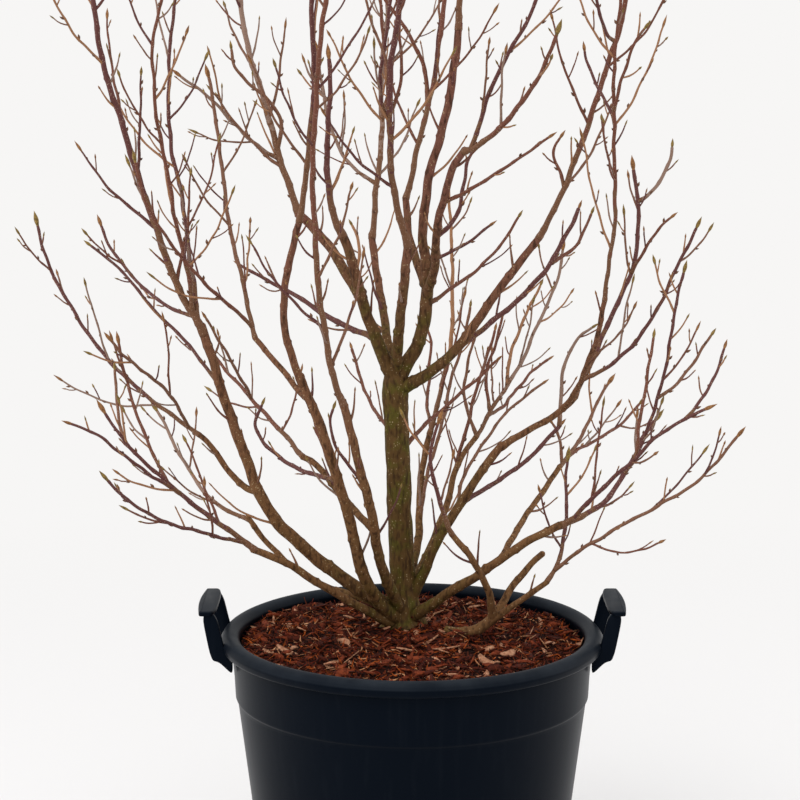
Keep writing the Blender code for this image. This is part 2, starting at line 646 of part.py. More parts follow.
def main():
    """Builds pot, mulch, handles, trunk, boughs and masses."""
    plastic = new_material("black_navy_polypropylene", (0.012, 0.017, 0.026), 0.45)
    bark_mulch = new_material("shredded_bark", (0.16, 0.05, 0.025), 0.9)
    old_bark = new_material("mossy_old_bark", (0.12, 0.10, 0.05), 0.85)
    young_bark = new_material("young_bark", (0.10, 0.045, 0.035), 0.7)

    pot = build_pot(plastic)
    build_mulch(bark_mulch)
    pot_cutter = bpy.data.objects.new("pot_cut", pot.data.copy())
    swell(pot_cutter.data)
    pot_cutter.hide_render = True
    pot_cutter.display_type = "WIRE"
    cutters.objects.link(pot_cutter)
    build_handle("handle_left", -1, plastic, pot_cutter)
    build_handle("handle_right", 1, plastic, pot_cutter)
    ground = bpy.data.objects.new("ground_cut", ground_block())
    ground.hide_render = True
    ground.display_type = "WIRE"
    cutters.objects.link(ground)

    points, radii = trunk_course()
    new_part("trunk", tube("trunk", points, radii, TRUNK_SIDES), old_bark, shrub)
    room.take("trunk", points, radii)
    grown = {"trunk": (points, fattened("trunk", points, radii, TRUNK_SIDES))}
    start = np.array(SUCKER_START) * MM
    points = course(SUCKER_FOOT, start, BOUGH_POINTS)
    points[0, 2] = start[2]
    radii = radii_of(SUCKER_FOOT, BOUGH_POINTS)
    foot = new_part("sucker_foot", tube("sucker_foot", points, radii, BOUGH_SIDES), old_bark, shrub)
    cut(foot, [ground])
    room.take("sucker_foot", points, radii)
    grown["sucker_foot"] = (points, fattened("sucker_foot", points, radii, BOUGH_SIDES))

    families = {}
    for limb in BOUGHS:
        parent_points, parent_cutter = grown[limb.parent]
        start = place_on(parent_points, limb.share)
        points = course(limb, start, BOUGH_POINTS)
        radii = radii_of(limb, BOUGH_POINTS)
        helpers = [parent_cutter]
        for other_start, other_cutter in families.get(limb.parent, []):
            if np.linalg.norm(other_start - start) < SIBLING_REACH:
                helpers.append(other_cutter)
        item = new_part("bough_" + limb.name, tube(limb.name, points, radii, BOUGH_SIDES), old_bark, shrub)
        cut(item, helpers)
        cutter = fattened(limb.name, points, radii, BOUGH_SIDES)
        room.take(limb.name, points, radii)
        grown[limb.name] = (points, cutter)
        families.setdefault(limb.parent, []).append((start, cutter))

    masses = [(limb, lay_out_mass(limb, grown[limb.parent][0])) for limb in LEADERS]
    for limb, carriers in masses:
        grow_mass(limb, carriers, grown[limb.parent][1], young_bark)


clear_scene()
shrub = new_collection("potted_magnolia_shrub")
cutters = new_collection("cutters")
room = Room()
main()
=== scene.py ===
"""A potted magnolia shrub in winter, dressed for a studio picture.

Metres, +Z up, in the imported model's own frame: the origin is the centre of the pot's flat underside and -Y
is the side that faces the viewer. Limb sizes are in millimetres and degrees, as they are measured on the
shrub.
"""

import json
import logging
import math
import random
from dataclasses import dataclass, field
from enum import Enum

import bpy
import numpy as np
from mathutils import Matrix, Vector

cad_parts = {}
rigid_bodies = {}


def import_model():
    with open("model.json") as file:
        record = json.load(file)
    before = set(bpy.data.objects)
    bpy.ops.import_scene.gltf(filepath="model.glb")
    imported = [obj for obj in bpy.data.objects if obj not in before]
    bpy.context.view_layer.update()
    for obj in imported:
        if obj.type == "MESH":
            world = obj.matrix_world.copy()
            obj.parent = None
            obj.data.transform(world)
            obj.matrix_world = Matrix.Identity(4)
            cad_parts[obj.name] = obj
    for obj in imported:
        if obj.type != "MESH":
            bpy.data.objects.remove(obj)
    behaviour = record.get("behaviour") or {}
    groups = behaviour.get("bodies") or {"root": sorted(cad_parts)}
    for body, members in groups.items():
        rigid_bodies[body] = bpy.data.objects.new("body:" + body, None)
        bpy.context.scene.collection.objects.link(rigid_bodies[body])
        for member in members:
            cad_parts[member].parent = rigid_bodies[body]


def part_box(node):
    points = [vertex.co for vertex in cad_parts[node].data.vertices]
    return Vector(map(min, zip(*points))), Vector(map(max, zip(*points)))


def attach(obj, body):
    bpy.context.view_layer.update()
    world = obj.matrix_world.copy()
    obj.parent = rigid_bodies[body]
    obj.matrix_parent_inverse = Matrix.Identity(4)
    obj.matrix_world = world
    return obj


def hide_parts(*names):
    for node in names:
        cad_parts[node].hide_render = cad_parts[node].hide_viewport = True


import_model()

LOG = logging.getLogger("shrub")
Array = np.ndarray
Colour = tuple[float, float, float, float]
Materials = list[bpy.types.Material]
Surface = tuple[Array, Array, Array]
BudRow = tuple[Array, Array, float, float]

MM = 0.001

# The numbers of the colour sockets on the node that mixes colours.
MIX_FACTOR = 0
MIX_FIRST = 6
MIX_SECOND = 7
MIX_RESULT = 2

POT_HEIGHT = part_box("pot")[1].z
RIM_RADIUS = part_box("pot")[1].x
RIM_INNER_RADIUS = 0.2030
ROLL_RADIUS = (RIM_RADIUS - RIM_INNER_RADIUS) / 2
BAND_TOP_RADIUS = 0.2125
BAND_FOOT_RADIUS = 0.2085
BAND_FOOT_HEIGHT = 0.303
BAND_STEP = 0.002
BASE_RADIUS = 0.169
WALL = 0.004
FLOOR = 0.005

MOUND_TOP = 0.3725
MOUND_EDGE = 0.3645
MOUND_FLAT_RADIUS = 0.125

TRUNK_X = -0.0100
TRUNK_Y = 0.040
TRUNK_TIP = (-0.0205, 0.040, 0.6810)
TRUNK_RADIUS = 0.0142
FLARE_WIDTH = 0.0130
FLARE_HEIGHT = 0.022
FORK_SWELL = 0.0012

BOUGH_POINTS = 9
LEADER_POINTS = 10
ARM_POINTS = 7
SWAY = 0.006

# Buds are given as length and radius.
LEADER_BUD = (0.020, 0.0042)
ARM_BUD = (0.017, 0.0034)
BRANCH_BUD = (0.013, 0.0027)
TWIG_BUD_LENGTH = (0.011, 0.017)
TWIG_BUD_RADIUS = (0.0021, 0.0028)
BUD_BELLY = 0.38
TIP_RADIUS = 0.0004

TWIG_SPACING = 0.072
TWIG_SHORTEST = 0.040
TWIG_LONGEST = 0.125
TWIG_REACH_SHARE = 0.28
TWIG_FIRST_SHARE = 0.06
TWIG_SHARE_SPAN = 0.88
TWIG_SLANT = (36, 52)
TWIG_RISE = (0.5, 0.9)
TWIG_ROOT_RADII = (0.0013, 0.0021)
TWIG_END_RADIUS = 0.0010
TWIG_ROOM = 0.0016
LOWEST_TWIG = 0.430
GOLDEN_TURN = math.radians(137.5)


@dataclass(frozen=True)
class Limb:
    """One limb as it is measured.

    It leaves its parent at a share of the parent's length. Its tip is (right, back, up) in mm. Leave and
    arrive are its slopes seen from the front: 0 points right, 90 up and 180 left. Thick is its diameter in
    mm where it leaves and at its tip, and grip says how stiffly it keeps each slope.
    """

    name: str
    parent: str | None
    share: float
    tip: tuple[float, float, float]
    leave: float
    arrive: float
    thick: tuple[float, float]
    grip: tuple[float, float] = (0.35, 0.35)


BOUGHS = (
    Limb("left_leader", "trunk", 0.95, (-81, 10, 845), 120, 110, (16.0, 10.4)),
    Limb("left_back", "left_leader", 0.60, (-136, 90, 861), 130, 145, (12.5, 10.0)),
    Limb("right_leader", "trunk", 0.93, (17, 30, 808), 60, 95, (16.0, 13.5), (0.30, 0.50)),
    Limb("back_leader", "trunk", 0.97, (-50, 180, 826), 105, 100, (11.0, 8.6)),
    Limb("middle_leader", "trunk", 0.98, (-6, -60, 839), 85, 85, (13.0, 9.5)),
    Limb("right_top", "right_leader", 0.97, (53, 30, 1085), 105, 86, (11.4, 8.6), (0.30, 0.50)),
    Limb("right_inner", "right_leader", 0.86, (-8, 95, 880), 120, 95, (10.0, 8.0)),
    Limb("right_outer", "right_leader", 0.80, (56, -100, 947), 75, 55, (10.5, 7.6)),
    Limb("right_arc", "trunk", 0.89, (145, -30, 846), 25, 50, (13.6, 7.9)),
    Limb("right_low_arc", "trunk", 0.17, (107, 30, 594), 65, 50, (13.1, 9.4)),
    Limb("right_low_rise", "right_low_arc", 0.98, (193, 40, 650), 32, 50, (7.9, 7.4)),
    Limb("right_side", "right_low_rise", 0.80, (215, -80, 781), 60, 80, (6.4, 5.6)),
    Limb("right_lowest", "trunk", 0.06, (169, -60, 519), 38, 30, (12.4, 8.6)),
    Limb("right_low_back", "right_lowest", 0.65, (181, 120, 551), 50, 55, (7.6, 6.1)),
    Limb("right_back", "trunk", 0.36, (81, 180, 577), 30, 45, (9.5, 6.4)),
    Limb("back_low", "trunk", 0.30, (24, 220, 577), 60, 70, (10.5, 7.6)),
    Limb("sucker_upright", "sucker_foot", 0.94, (44, -80, 513), 95, 130, (9.0, 6.6)),
    Limb("sucker_stub", "sucker_foot", 0.90, (155, 20, 465), 50, 35, (9.2, 7.4)),
    Limb("sucker_right", "sucker_foot", 0.86, (156, -58, 451), 40, 40, (8.2, 6.0)),
    Limb("left_arc", "trunk", 0.12, (-241, -20, 743), 146, 106, (16.7, 10.3), (0.50, 0.50)),
    Limb("left_side", "left_arc", 0.55, (-249, 20, 609), 175, 145, (7.4, 6.2)),
    Limb("front_left", "trunk", 0.07, (-124, -110, 696), 150, 115, (15.5, 10.0), (0.20, 0.35)),
    Limb("front_left_rise", "front_left", 0.98, (-120, -170, 878), 112, 75, (8.5, 7.2), (0.50, 0.30)),
    Limb("left_inner", "front_left", 0.93, (-180, -30, 731), 170, 135, (7.0, 6.0), (0.20, 0.35)),
    Limb("front_middle", "trunk", 0.10, (-77, -130, 675), 110, 105, (13.1, 8.8)),
    Limb("left_back_low", "front_middle", 0.45, (-131, 60, 574), 160, 160, (8.6, 7.2)),
    Limb("left_lowest", "trunk", 0.035, (-183, -70, 492), 165, 160, (10.7, 8.0), (0.20, 0.35)),
    Limb("left_low_back", "trunk", 0.14, (-202, 140, 484), 160, 120, (8.3, 6.4), (0.30, 0.50)),
)

# The sucker's foot comes out of the mulch beside the trunk, lies on it and turns up.
SUCKER_START = (40, 2, 376)
SUCKER_FOOT = Limb("sucker_foot", None, 0.0, (97, -20, 401), -8, 65, (12.6, 12.8))

# Each mass's leader goes on from its bough's tip, and its arms leave the leader.
LEADERS = (
    Limb("left_leader", "left_leader", 0.98, (-94, -20, 1043), 118, 95, (8.4, 4.6)),
    Limb("left_back", "left_back", 0.98, (-232, 200, 1290), 112, 97, (8.2, 4.2)),
    Limb("back_leader", "back_leader", 0.98, (-25, 300, 1350), 85, 90, (7.2, 3.8)),
    Limb("middle_leader", "middle_leader", 0.98, (14, -200, 1360), 110, 95, (7.8, 3.8)),
    Limb("right_top", "right_top", 0.98, (67, 20, 1530), 88, 90, (7.2, 3.8)),
    Limb("right_inner", "right_inner", 0.98, (51, 160, 1410), 75, 90, (6.8, 3.6)),
    Limb("right_outer", "right_outer", 0.98, (146, -220, 1070), 25, 70, (6.4, 3.8)),
    Limb("right_arc", "right_arc", 0.98, (262, -100, 1330), 60, 80, (6.7, 4.0), (0.35, 0.20)),
    Limb("right_low_rise", "right_low_rise", 0.98, (262, 100, 912), 65, 108, (6.3, 4.4)),
    Limb("right_side", "right_side", 0.98, (217, -200, 1168), 85, 85, (4.8, 3.2)),
    Limb("right_lowest", "right_lowest", 0.98, (282, 0, 629), 10, 50, (7.0, 4.0), (0.50, 0.30)),
    Limb("right_low_back", "right_low_back", 0.98, (249, 240, 632), 30, 55, (5.2, 3.6)),
    Limb("right_back", "right_back", 0.98, (197, 320, 796), 55, 80, (5.4, 3.6)),
    Limb("back_low", "back_low", 0.98, (50, 370, 870), 70, 95, (6.4, 3.6)),
    Limb("sucker_upright", "sucker_upright", 0.98, (28, -130, 649), 112, 70, (5.6, 3.2)),
    Limb("sucker_right", "sucker_right", 0.98, (179, -20, 585), 55, 80, (5.0, 3.2), (0.50, 0.30)),
    Limb("left_arc", "left_arc", 0.98, (-376, -50, 1300), 118, 97, (8.6, 4.2)),
    Limb("left_side", "left_side", 0.98, (-442, 80, 850), 148, 100, (5.2, 3.4)),
    Limb("front_left_rise", "front_left_rise", 0.98, (-86, -250, 1300), 80, 82, (6.2, 3.8)),
    Limb("left_inner", "left_inner", 0.98, (-241, 120, 1020), 108, 100, (5.2, 4.0)),
    Limb("front_middle", "front_middle", 0.98, (-72, -260, 1320), 115, 86, (7.4, 3.8), (0.20, 0.35)),
    Limb("left_back_low", "left_back_low", 0.98, (-253, 220, 678), 140, 130, (6.0, 3.6)),
    Limb("left_lowest", "left_lowest", 0.98, (-341, -120, 659), 138, 120, (6.6, 3.2)),
    Limb("left_low_back", "left_low_back", 0.98, (-324, 260, 596), 170, 125, (5.4, 3.6), (0.50, 0.30)),
)
ARMS = (
    Limb("left_back", "left_back", 0.15, (-276, 140, 1020), 160, 148, (4.8, 3.4), (0.30, 0.50)),
    Limb("back_leader", "back_leader", 0.12, (-119, 260, 1050), 160, 100, (4.8, 3.4)),
    Limb("middle_leader", "middle_leader", 0.28, (-22, -110, 1140), 140, 90, (4.6, 3.2), (0.20, 0.35)),
    Limb("right_outer", "right_outer", 0.06, (145, -150, 1170), 80, 85, (5.2, 3.2)),
    Limb("right_low_rise", "right_low_rise", 0.08, (330, 30, 848), 20, 62, (5.0, 3.6)),
    Limb("right_lowest", "right_lowest", 0.05, (318, -150, 668), 48, 25, (5.6, 3.4)),
    Limb("right_lowest", "right_lowest", 0.55, (298, -90, 812), 60, 80, (4.4, 3.2)),
    Limb("right_low_back", "right_low_back", 0.12, (292, 250, 604), 20, 50, (4.2, 3.4)),
    Limb("sucker_right", "sucker_right", 0.08, (354, -140, 634), 50, 62, (4.4, 3.2)),
    Limb("left_arc", "left_arc", 0.05, (-265, -120, 1119), 90, 68, (5.0, 3.2)),
    Limb("left_arc", "left_arc", 0.03, (-255, 60, 1205), 95, 76, (5.6, 3.4), (0.30, 0.50)),
    Limb("left_arc", "left_arc", 0.04, (-364, 60, 850), 170, 110, (4.4, 3.2)),
    Limb("left_side", "left_side", 0.05, (-334, -100, 736), 105, 125, (4.2, 3.2), (0.50, 0.30)),
    Limb("left_inner", "left_inner", 0.04, (-298, -140, 935), 130, 95, (4.4, 3.2)),
    Limb("left_lowest", "left_lowest", 0.06, (-326, -220, 602), 152, 125, (4.4, 3.2)),
    Limb("left_lowest", "left_lowest", 0.55, (-334, -40, 724), 122, 100, (3.8, 3.2)),
)

# Thinner branches between the masses. Each belongs to a mass and leaves a limb of it, or a branch named
# before it.
BRANCHES = (
    Limb("right_arc", "right_arc", 0.38, (195, 60, 870), 30, 70, (6.9, 4.7)),
    Limb("right_arc", "branch 1 right_arc", 0.67, (214, 100, 861), 5, 70, (4.7, 3.1)),
    Limb("right_low_rise", "right_low_arc", 0.64, (181, 120, 601), 20, 50, (5.9, 4.9)),
    Limb("right_low_rise", "branch 3 right_low_rise", 0.99, (221, 150, 717), 85, 20, (5.1, 3.2)),
    Limb("left_back", "left_leader", 0.29, (-208, 140, 795), 165, 155, (7.6, 3.6)),
    Limb("left_inner", "front_left", 0.67, (-176, 40, 640), 195, 50, (5.7, 3.5), (0.30, 0.50)),
    Limb("right_inner", "leader right_inner", 0.21, (-50, 130, 1158), 85, 105, (5.3, 3.5)),
    Limb("right_outer", "right_outer", 0.41, (67, -30, 939), 35, 55, (5.1, 3.4), (0.50, 0.30)),
    Limb("right_outer", "right_outer", 0.64, (145, -140, 962), 25, 35, (4.4, 2.8)),
    Limb("right_top", "right_leader", 0.74, (127, 120, 852), 25, 60, (4.7, 3.1)),
    Limb("right_top", "right_top", 0.04, (89, 20, 853), 15, 40, (4.2, 3.0)),
    Limb("back_leader", "leader back_leader", 0.27, (-41, 220, 1161), 75, 85, (4.9, 3.4)),
    Limb("middle_leader", "leader middle_leader", 0.29, (-10, -100, 1129), 60, 75, (3.9, 2.8)),
    Limb("right_arc", "leader right_arc", 0.42, (187, -140, 1160), 150, 105, (4.0, 2.8)),
    Limb("right_arc", "leader right_arc", 0.12, (164, -40, 957), 105, 45, (3.8, 2.9)),
    Limb("right_low_rise", "leader right_low_rise", 0.86, (310, 120, 936), 20, 80, (4.7, 3.8)),
    Limb("right_low_rise", "leader right_low_rise", 0.55, (299, 40, 861), 70, 45, (4.3, 3.0)),
    Limb("right_side", "leader right_side", 0.55, (238, -220, 1077), 85, 55, (3.8, 2.7)),
    Limb("right_side", "leader right_side", 0.51, (185, -120, 1054), 105, 95, (3.8, 2.8)),
    Limb("right_lowest", "arm 2 right_lowest", 0.41, (342, -20, 733), 15, 50, (3.9, 3.0)),
    Limb("right_lowest", "arm 1 right_lowest", 0.89, (346, -100, 727), 40, 75, (3.9, 2.9)),
    Limb("right_lowest", "arm 1 right_lowest", 0.53, (265, -100, 741), 80, 80, (4.2, 3.1)),
    Limb("right_low_back", "leader right_low_back", 0.05, (174, 160, 595), 105, 135, (4.2, 3.2)),
    Limb("left_arc", "left_arc", 0.88, (-379, 80, 826), 135, 140, (4.4, 3.1)),
    Limb("left_back_low", "leader left_back_low", 0.54, (-246, 100, 735), 110, 120, (4.2, 3.1)),
    Limb("left_back", "leader left_back", 0.18, (-213, 100, 1053), 65, 80, (4.8, 3.3), (0.50, 0.30)),
    Limb("left_lowest", "leader left_lowest", 0.47, (-366, -200, 662), 140, 155, (4.3, 2.8)),
    Limb("left_lowest", "leader left_lowest", 0.76, (-338, -40, 693), 155, 95, (3.8, 3.0)),
    Limb("right_back", "right_back", 0.67, (105, 240, 702), 75, 75, (5.0, 3.5)),
    Limb("back_low", "back_low", 0.44, (76, 300, 725), 80, 80, (4.9, 3.6)),
    Limb("right_back", "leader right_back", 0.12, (180, 340, 649), 0, 20, (4.5, 3.4)),
    Limb("back_low", "leader back_low", 0.03, (23, 340, 689), 115, 110, (4.6, 3.4)),
    Limb("right_back", "trunk", 0.71, (104, 140, 677), 45, 40, (5.3, 3.7)),
    Limb("right_back", "leader right_back", 0.02, (79, 200, 699), 120, 70, (4.5, 3.2)),
    Limb("right_back", "leader right_back", 0.14, (116, 260, 716), 110, 80, (4.5, 3.3)),
    Limb("right_back", "leader right_back", 0.28, (166, 300, 753), 90, 65, (4.6, 3.3)),
    Limb("right_low_back", "right_low_arc", 0.60, (162, 160, 647), 80, 35, (4.3, 3.2)),
    Limb("front_middle", "front_middle", 0.64, (-89, -60, 652), 130, 65, (4.1, 2.9)),
    Limb("left_back_low", "left_back_low", 0.47, (-130, 80, 652), 120, 115, (4.5, 3.4)),
    Limb("back_leader", "back_leader", 0.28, (-74, 220, 837), 150, 125, (4.8, 3.5), (0.50, 0.30)),
    Limb("back_low", "trunk", 0.75, (-74, 200, 683), 155, 105, (4.7, 3.5)),
)


class Stage(Enum):
    """How old a limb's wood is, from the trunk to the finest twig."""

    TRUNK = 0
    BOUGH = 1
    LEADER = 2
    ARM = 3
    TWIG = 4
    FINE = 5


def unit(vectors: Array) -> Array:
    """Vectors divided by their length."""
    return vectors / np.linalg.norm(vectors, axis=-1, keepdims=True)


def direction(slope: float) -> Array:
    """The unit step of a slope seen from the front."""
    return np.array((math.cos(math.radians(slope)), math.sin(math.radians(slope))))


def course(limb: Limb, start: Array, count: int) -> Array:
    """A limb's centre line: a cubic seen from the front, its depth taken up early, with a seeded sway.

    Args:
        limb: the measured limb.
        start: where it leaves its parent.
        count: how many points to give.

    Returns:
        The points, one row each.
    """
    share = np.linspace(0, 1, count)[:, None]
    tip = np.array(limb.tip) * MM
    near = start[[0, 2]]
    far = tip[[0, 2]]
    reach = np.linalg.norm(far - near)
    first = near + direction(limb.leave) * reach * limb.grip[0]
    second = far - direction(limb.arrive) * reach * limb.grip[1]
    back = 1 - share
    flat = back**3 * near + 3 * back**2 * share * first + 3 * back * share**2 * second + share**3 * far
    depth = start[1] + (tip[1] - start[1]) * (1 - back**1.4)
    draw = random.Random(limb.name + str(limb.tip[2]))
    sway = SWAY * np.linalg.norm(tip - start) * np.sin(math.pi * share)
    side = np.sin(2 * math.pi * (draw.uniform(1.2, 2.2) * share + draw.random()))
    rear = np.sin(2 * math.pi * (draw.uniform(1.2, 2.2) * share + draw.random()))
    return np.hstack([flat[:, :1] + sway * side, depth + sway * rear, flat[:, 1:]])


def radii_of(limb: Limb, count: int) -> Array:
    """Radii along the limb, in metres."""
    return np.linspace(limb.thick[0], limb.thick[1], count) / 2 * MM


def place_on(points: Array, share: float) -> Array:
    """The point at a share of a limb's points."""
    along = share * (len(points) - 1)
    index = min(int(along), len(points) - 2)
    return points[index] + (points[index + 1] - points[index]) * (along - index)


def strung(points: Array, radii: Array, step: float = 0.003) -> tuple[Array, Array]:
    """Points and radii at even steps along a limb."""
    lengths = np.linalg.norm(np.diff(points, axis=0), axis=1)
    along = np.append(0, np.cumsum(lengths))
    places = np.linspace(0, along[-1], max(3, int(along[-1] / step)))
    centres = np.stack([np.interp(places, along, points[:, axis]) for axis in range(3)], axis=1)
    return centres, np.interp(places, along, radii)


def with_bud(points: Array, radii: Array, length: float, radius: float) -> tuple[Array, Array]:
    """The space of a limb and its end bud, as two more points: the bud's belly and its tip."""
    step = unit(points[-1] - points[-2])
    ends = [points[-1] + step * length * share for share in (BUD_BELLY, 1.0)]
    return np.vstack([points, ends]), np.append(radii, (radius, TIP_RADIUS))


class Room:
    """The space that finished limbs take up, as balls strung along them."""

    def __init__(self) -> None:
        """Starts empty."""
        self.centres = np.empty((0, 3))
        self.radii = np.empty(0)
        self.owners = np.empty(0, object)

    def take(self, owner: str, points: Array, radii: Array) -> None:
        """Adds a limb."""
        centres, sizes = strung(points, radii)
        self.centres = np.vstack([self.centres, centres])
        self.radii = np.append(self.radii, sizes)
        self.owners = np.append(self.owners, np.full(len(sizes), owner, object))

    def gap(self, points: Array, radii: Array, carrier: str) -> float:
        """The least distance from the limb's skin to any other than its carrier."""
        centres, sizes = strung(points, radii)
        others = self.owners != carrier
        apart = np.linalg.norm(self.centres[others][None] - centres[:, None], axis=2)
        return float((apart - self.radii[others][None] - sizes[:, None]).min())


def value_noise(points: Array, cell: float, seed: int) -> Array:
    """Smooth noise from -1 to 1: seeded values at the corners of cubes, blended across each cube with
    smoothstep.

    Args:
        points: places, one row each.
        cell: the cube's side.
        seed: another pattern for another number.

    Returns:
        One value for each place.
    """
    grid = points / cell
    base = np.floor(grid).astype(np.int64)
    part = grid - base
    part = part * part * (3 - 2 * part)
    total = np.zeros(len(points))
    for corner in range(8):
        step = np.array([corner & 1, corner >> 1 & 1, corner >> 2 & 1])
        place = base + step
        code = place[:, 0] * 73856093 ^ place[:, 1] * 19349663 ^ place[:, 2] * 83492791 ^ seed * 2654435761
        code = (code & 0x7FFFFFFF) * 1103515245 + 12345
        code = (code >> 15 ^ code) & 0xFFFF
        total += (code / 32767.5 - 1) * np.where(step == 1, part, 1 - part).prod(axis=1)
    return total


def curve_through(points: Array, step: float) -> tuple[Array, Array, Array]:
    """A smooth curve through the points, read at even steps: a cubic on each span whose slope at a point is
    half the difference of its two neighbours.

    Args:
        points: the points to pass.
        step: the spacing of the rings.

    Returns:
        The curve's points, the distance along it and the share of the given points that each stands at.
    """
    lengths = np.linalg.norm(np.diff(points, axis=0), axis=1)
    along = np.append(0, np.cumsum(lengths))
    places = np.linspace(0, along[-1], max(4, int(round(along[-1] / step)) + 1))
    index = np.clip(np.searchsorted(along, places, "right") - 1, 0, len(points) - 2)
    part = ((places - along[index]) / lengths[index])[:, None]
    padded = np.vstack([2 * points[0] - points[1], points, 2 * points[-1] - points[-2]])
    before, near, far, after = (padded[index + offset] for offset in range(4))
    curve = near + 0.5 * (far - before) * part
    curve += 0.5 * (2 * before - 5 * near + 4 * far - after) * part**2
    curve += 0.5 * (3 * near - before - 3 * far + after) * part**3
    return curve, places, (index + part[:, 0]) / (len(points) - 1)


@dataclass
class Strand:
    """One limb as it is drawn, with its centre line, radii and end bud."""

    name: str
    stage: Stage
    home: str
    points: Array
    radii: Array
    bud: tuple[float, float] | None = None
    parent: "Strand | None" = None
    share: float = 0.0
    path: Array = field(default_factory=lambda: np.empty((0, 3)))
    places: Array = field(default_factory=lambda: np.empty(0))
    shares: Array = field(default_factory=lambda: np.empty(0))

    def at(self, share: float) -> Array:
        """The drawn centre line's point at a share of the limb."""
        return np.array([np.interp(share, self.shares, self.path[:, axis]) for axis in range(3)])

    def trace(self, step: float, bend: float) -> None:
        """Draws the centre line: a smooth curve through the points, moved to the drawn parent, with a
        crooked walk of three sine waves that fades in over the limb's first 15 mm.

        Args:
            step: the spacing of the rings.
            bend: the crookedness in metres.
        """
        shift = np.zeros(3) if self.parent is None else self.parent.at(self.share) - self.points[0]
        self.path, self.places, self.shares = curve_through(self.points + shift, step)
        draw = np.random.default_rng(seed_of(self.name))
        fade = np.clip(self.places / 0.015, 0, 1)[:, None]
        for wave, weight in ((0.034, 0.45), (0.061, 0.7), (0.127, 1.0)):
            turn = 2 * math.pi * (self.places[:, None] / wave + draw.random(3))
            self.path = self.path + fade * bend * weight * np.sin(turn) * draw.uniform(0.6, 1.0, 3)

    def girth(self) -> Array:
        """The radius at each ring of the drawn line."""
        return np.interp(self.shares, np.linspace(0, 1, len(self.radii)), self.radii)


def seed_of(text: str) -> int:
    """The same number for the same words, each run."""
    total = 7
    for letter in text:
        total = (total * 131 + ord(letter)) % 2147483647
    return total


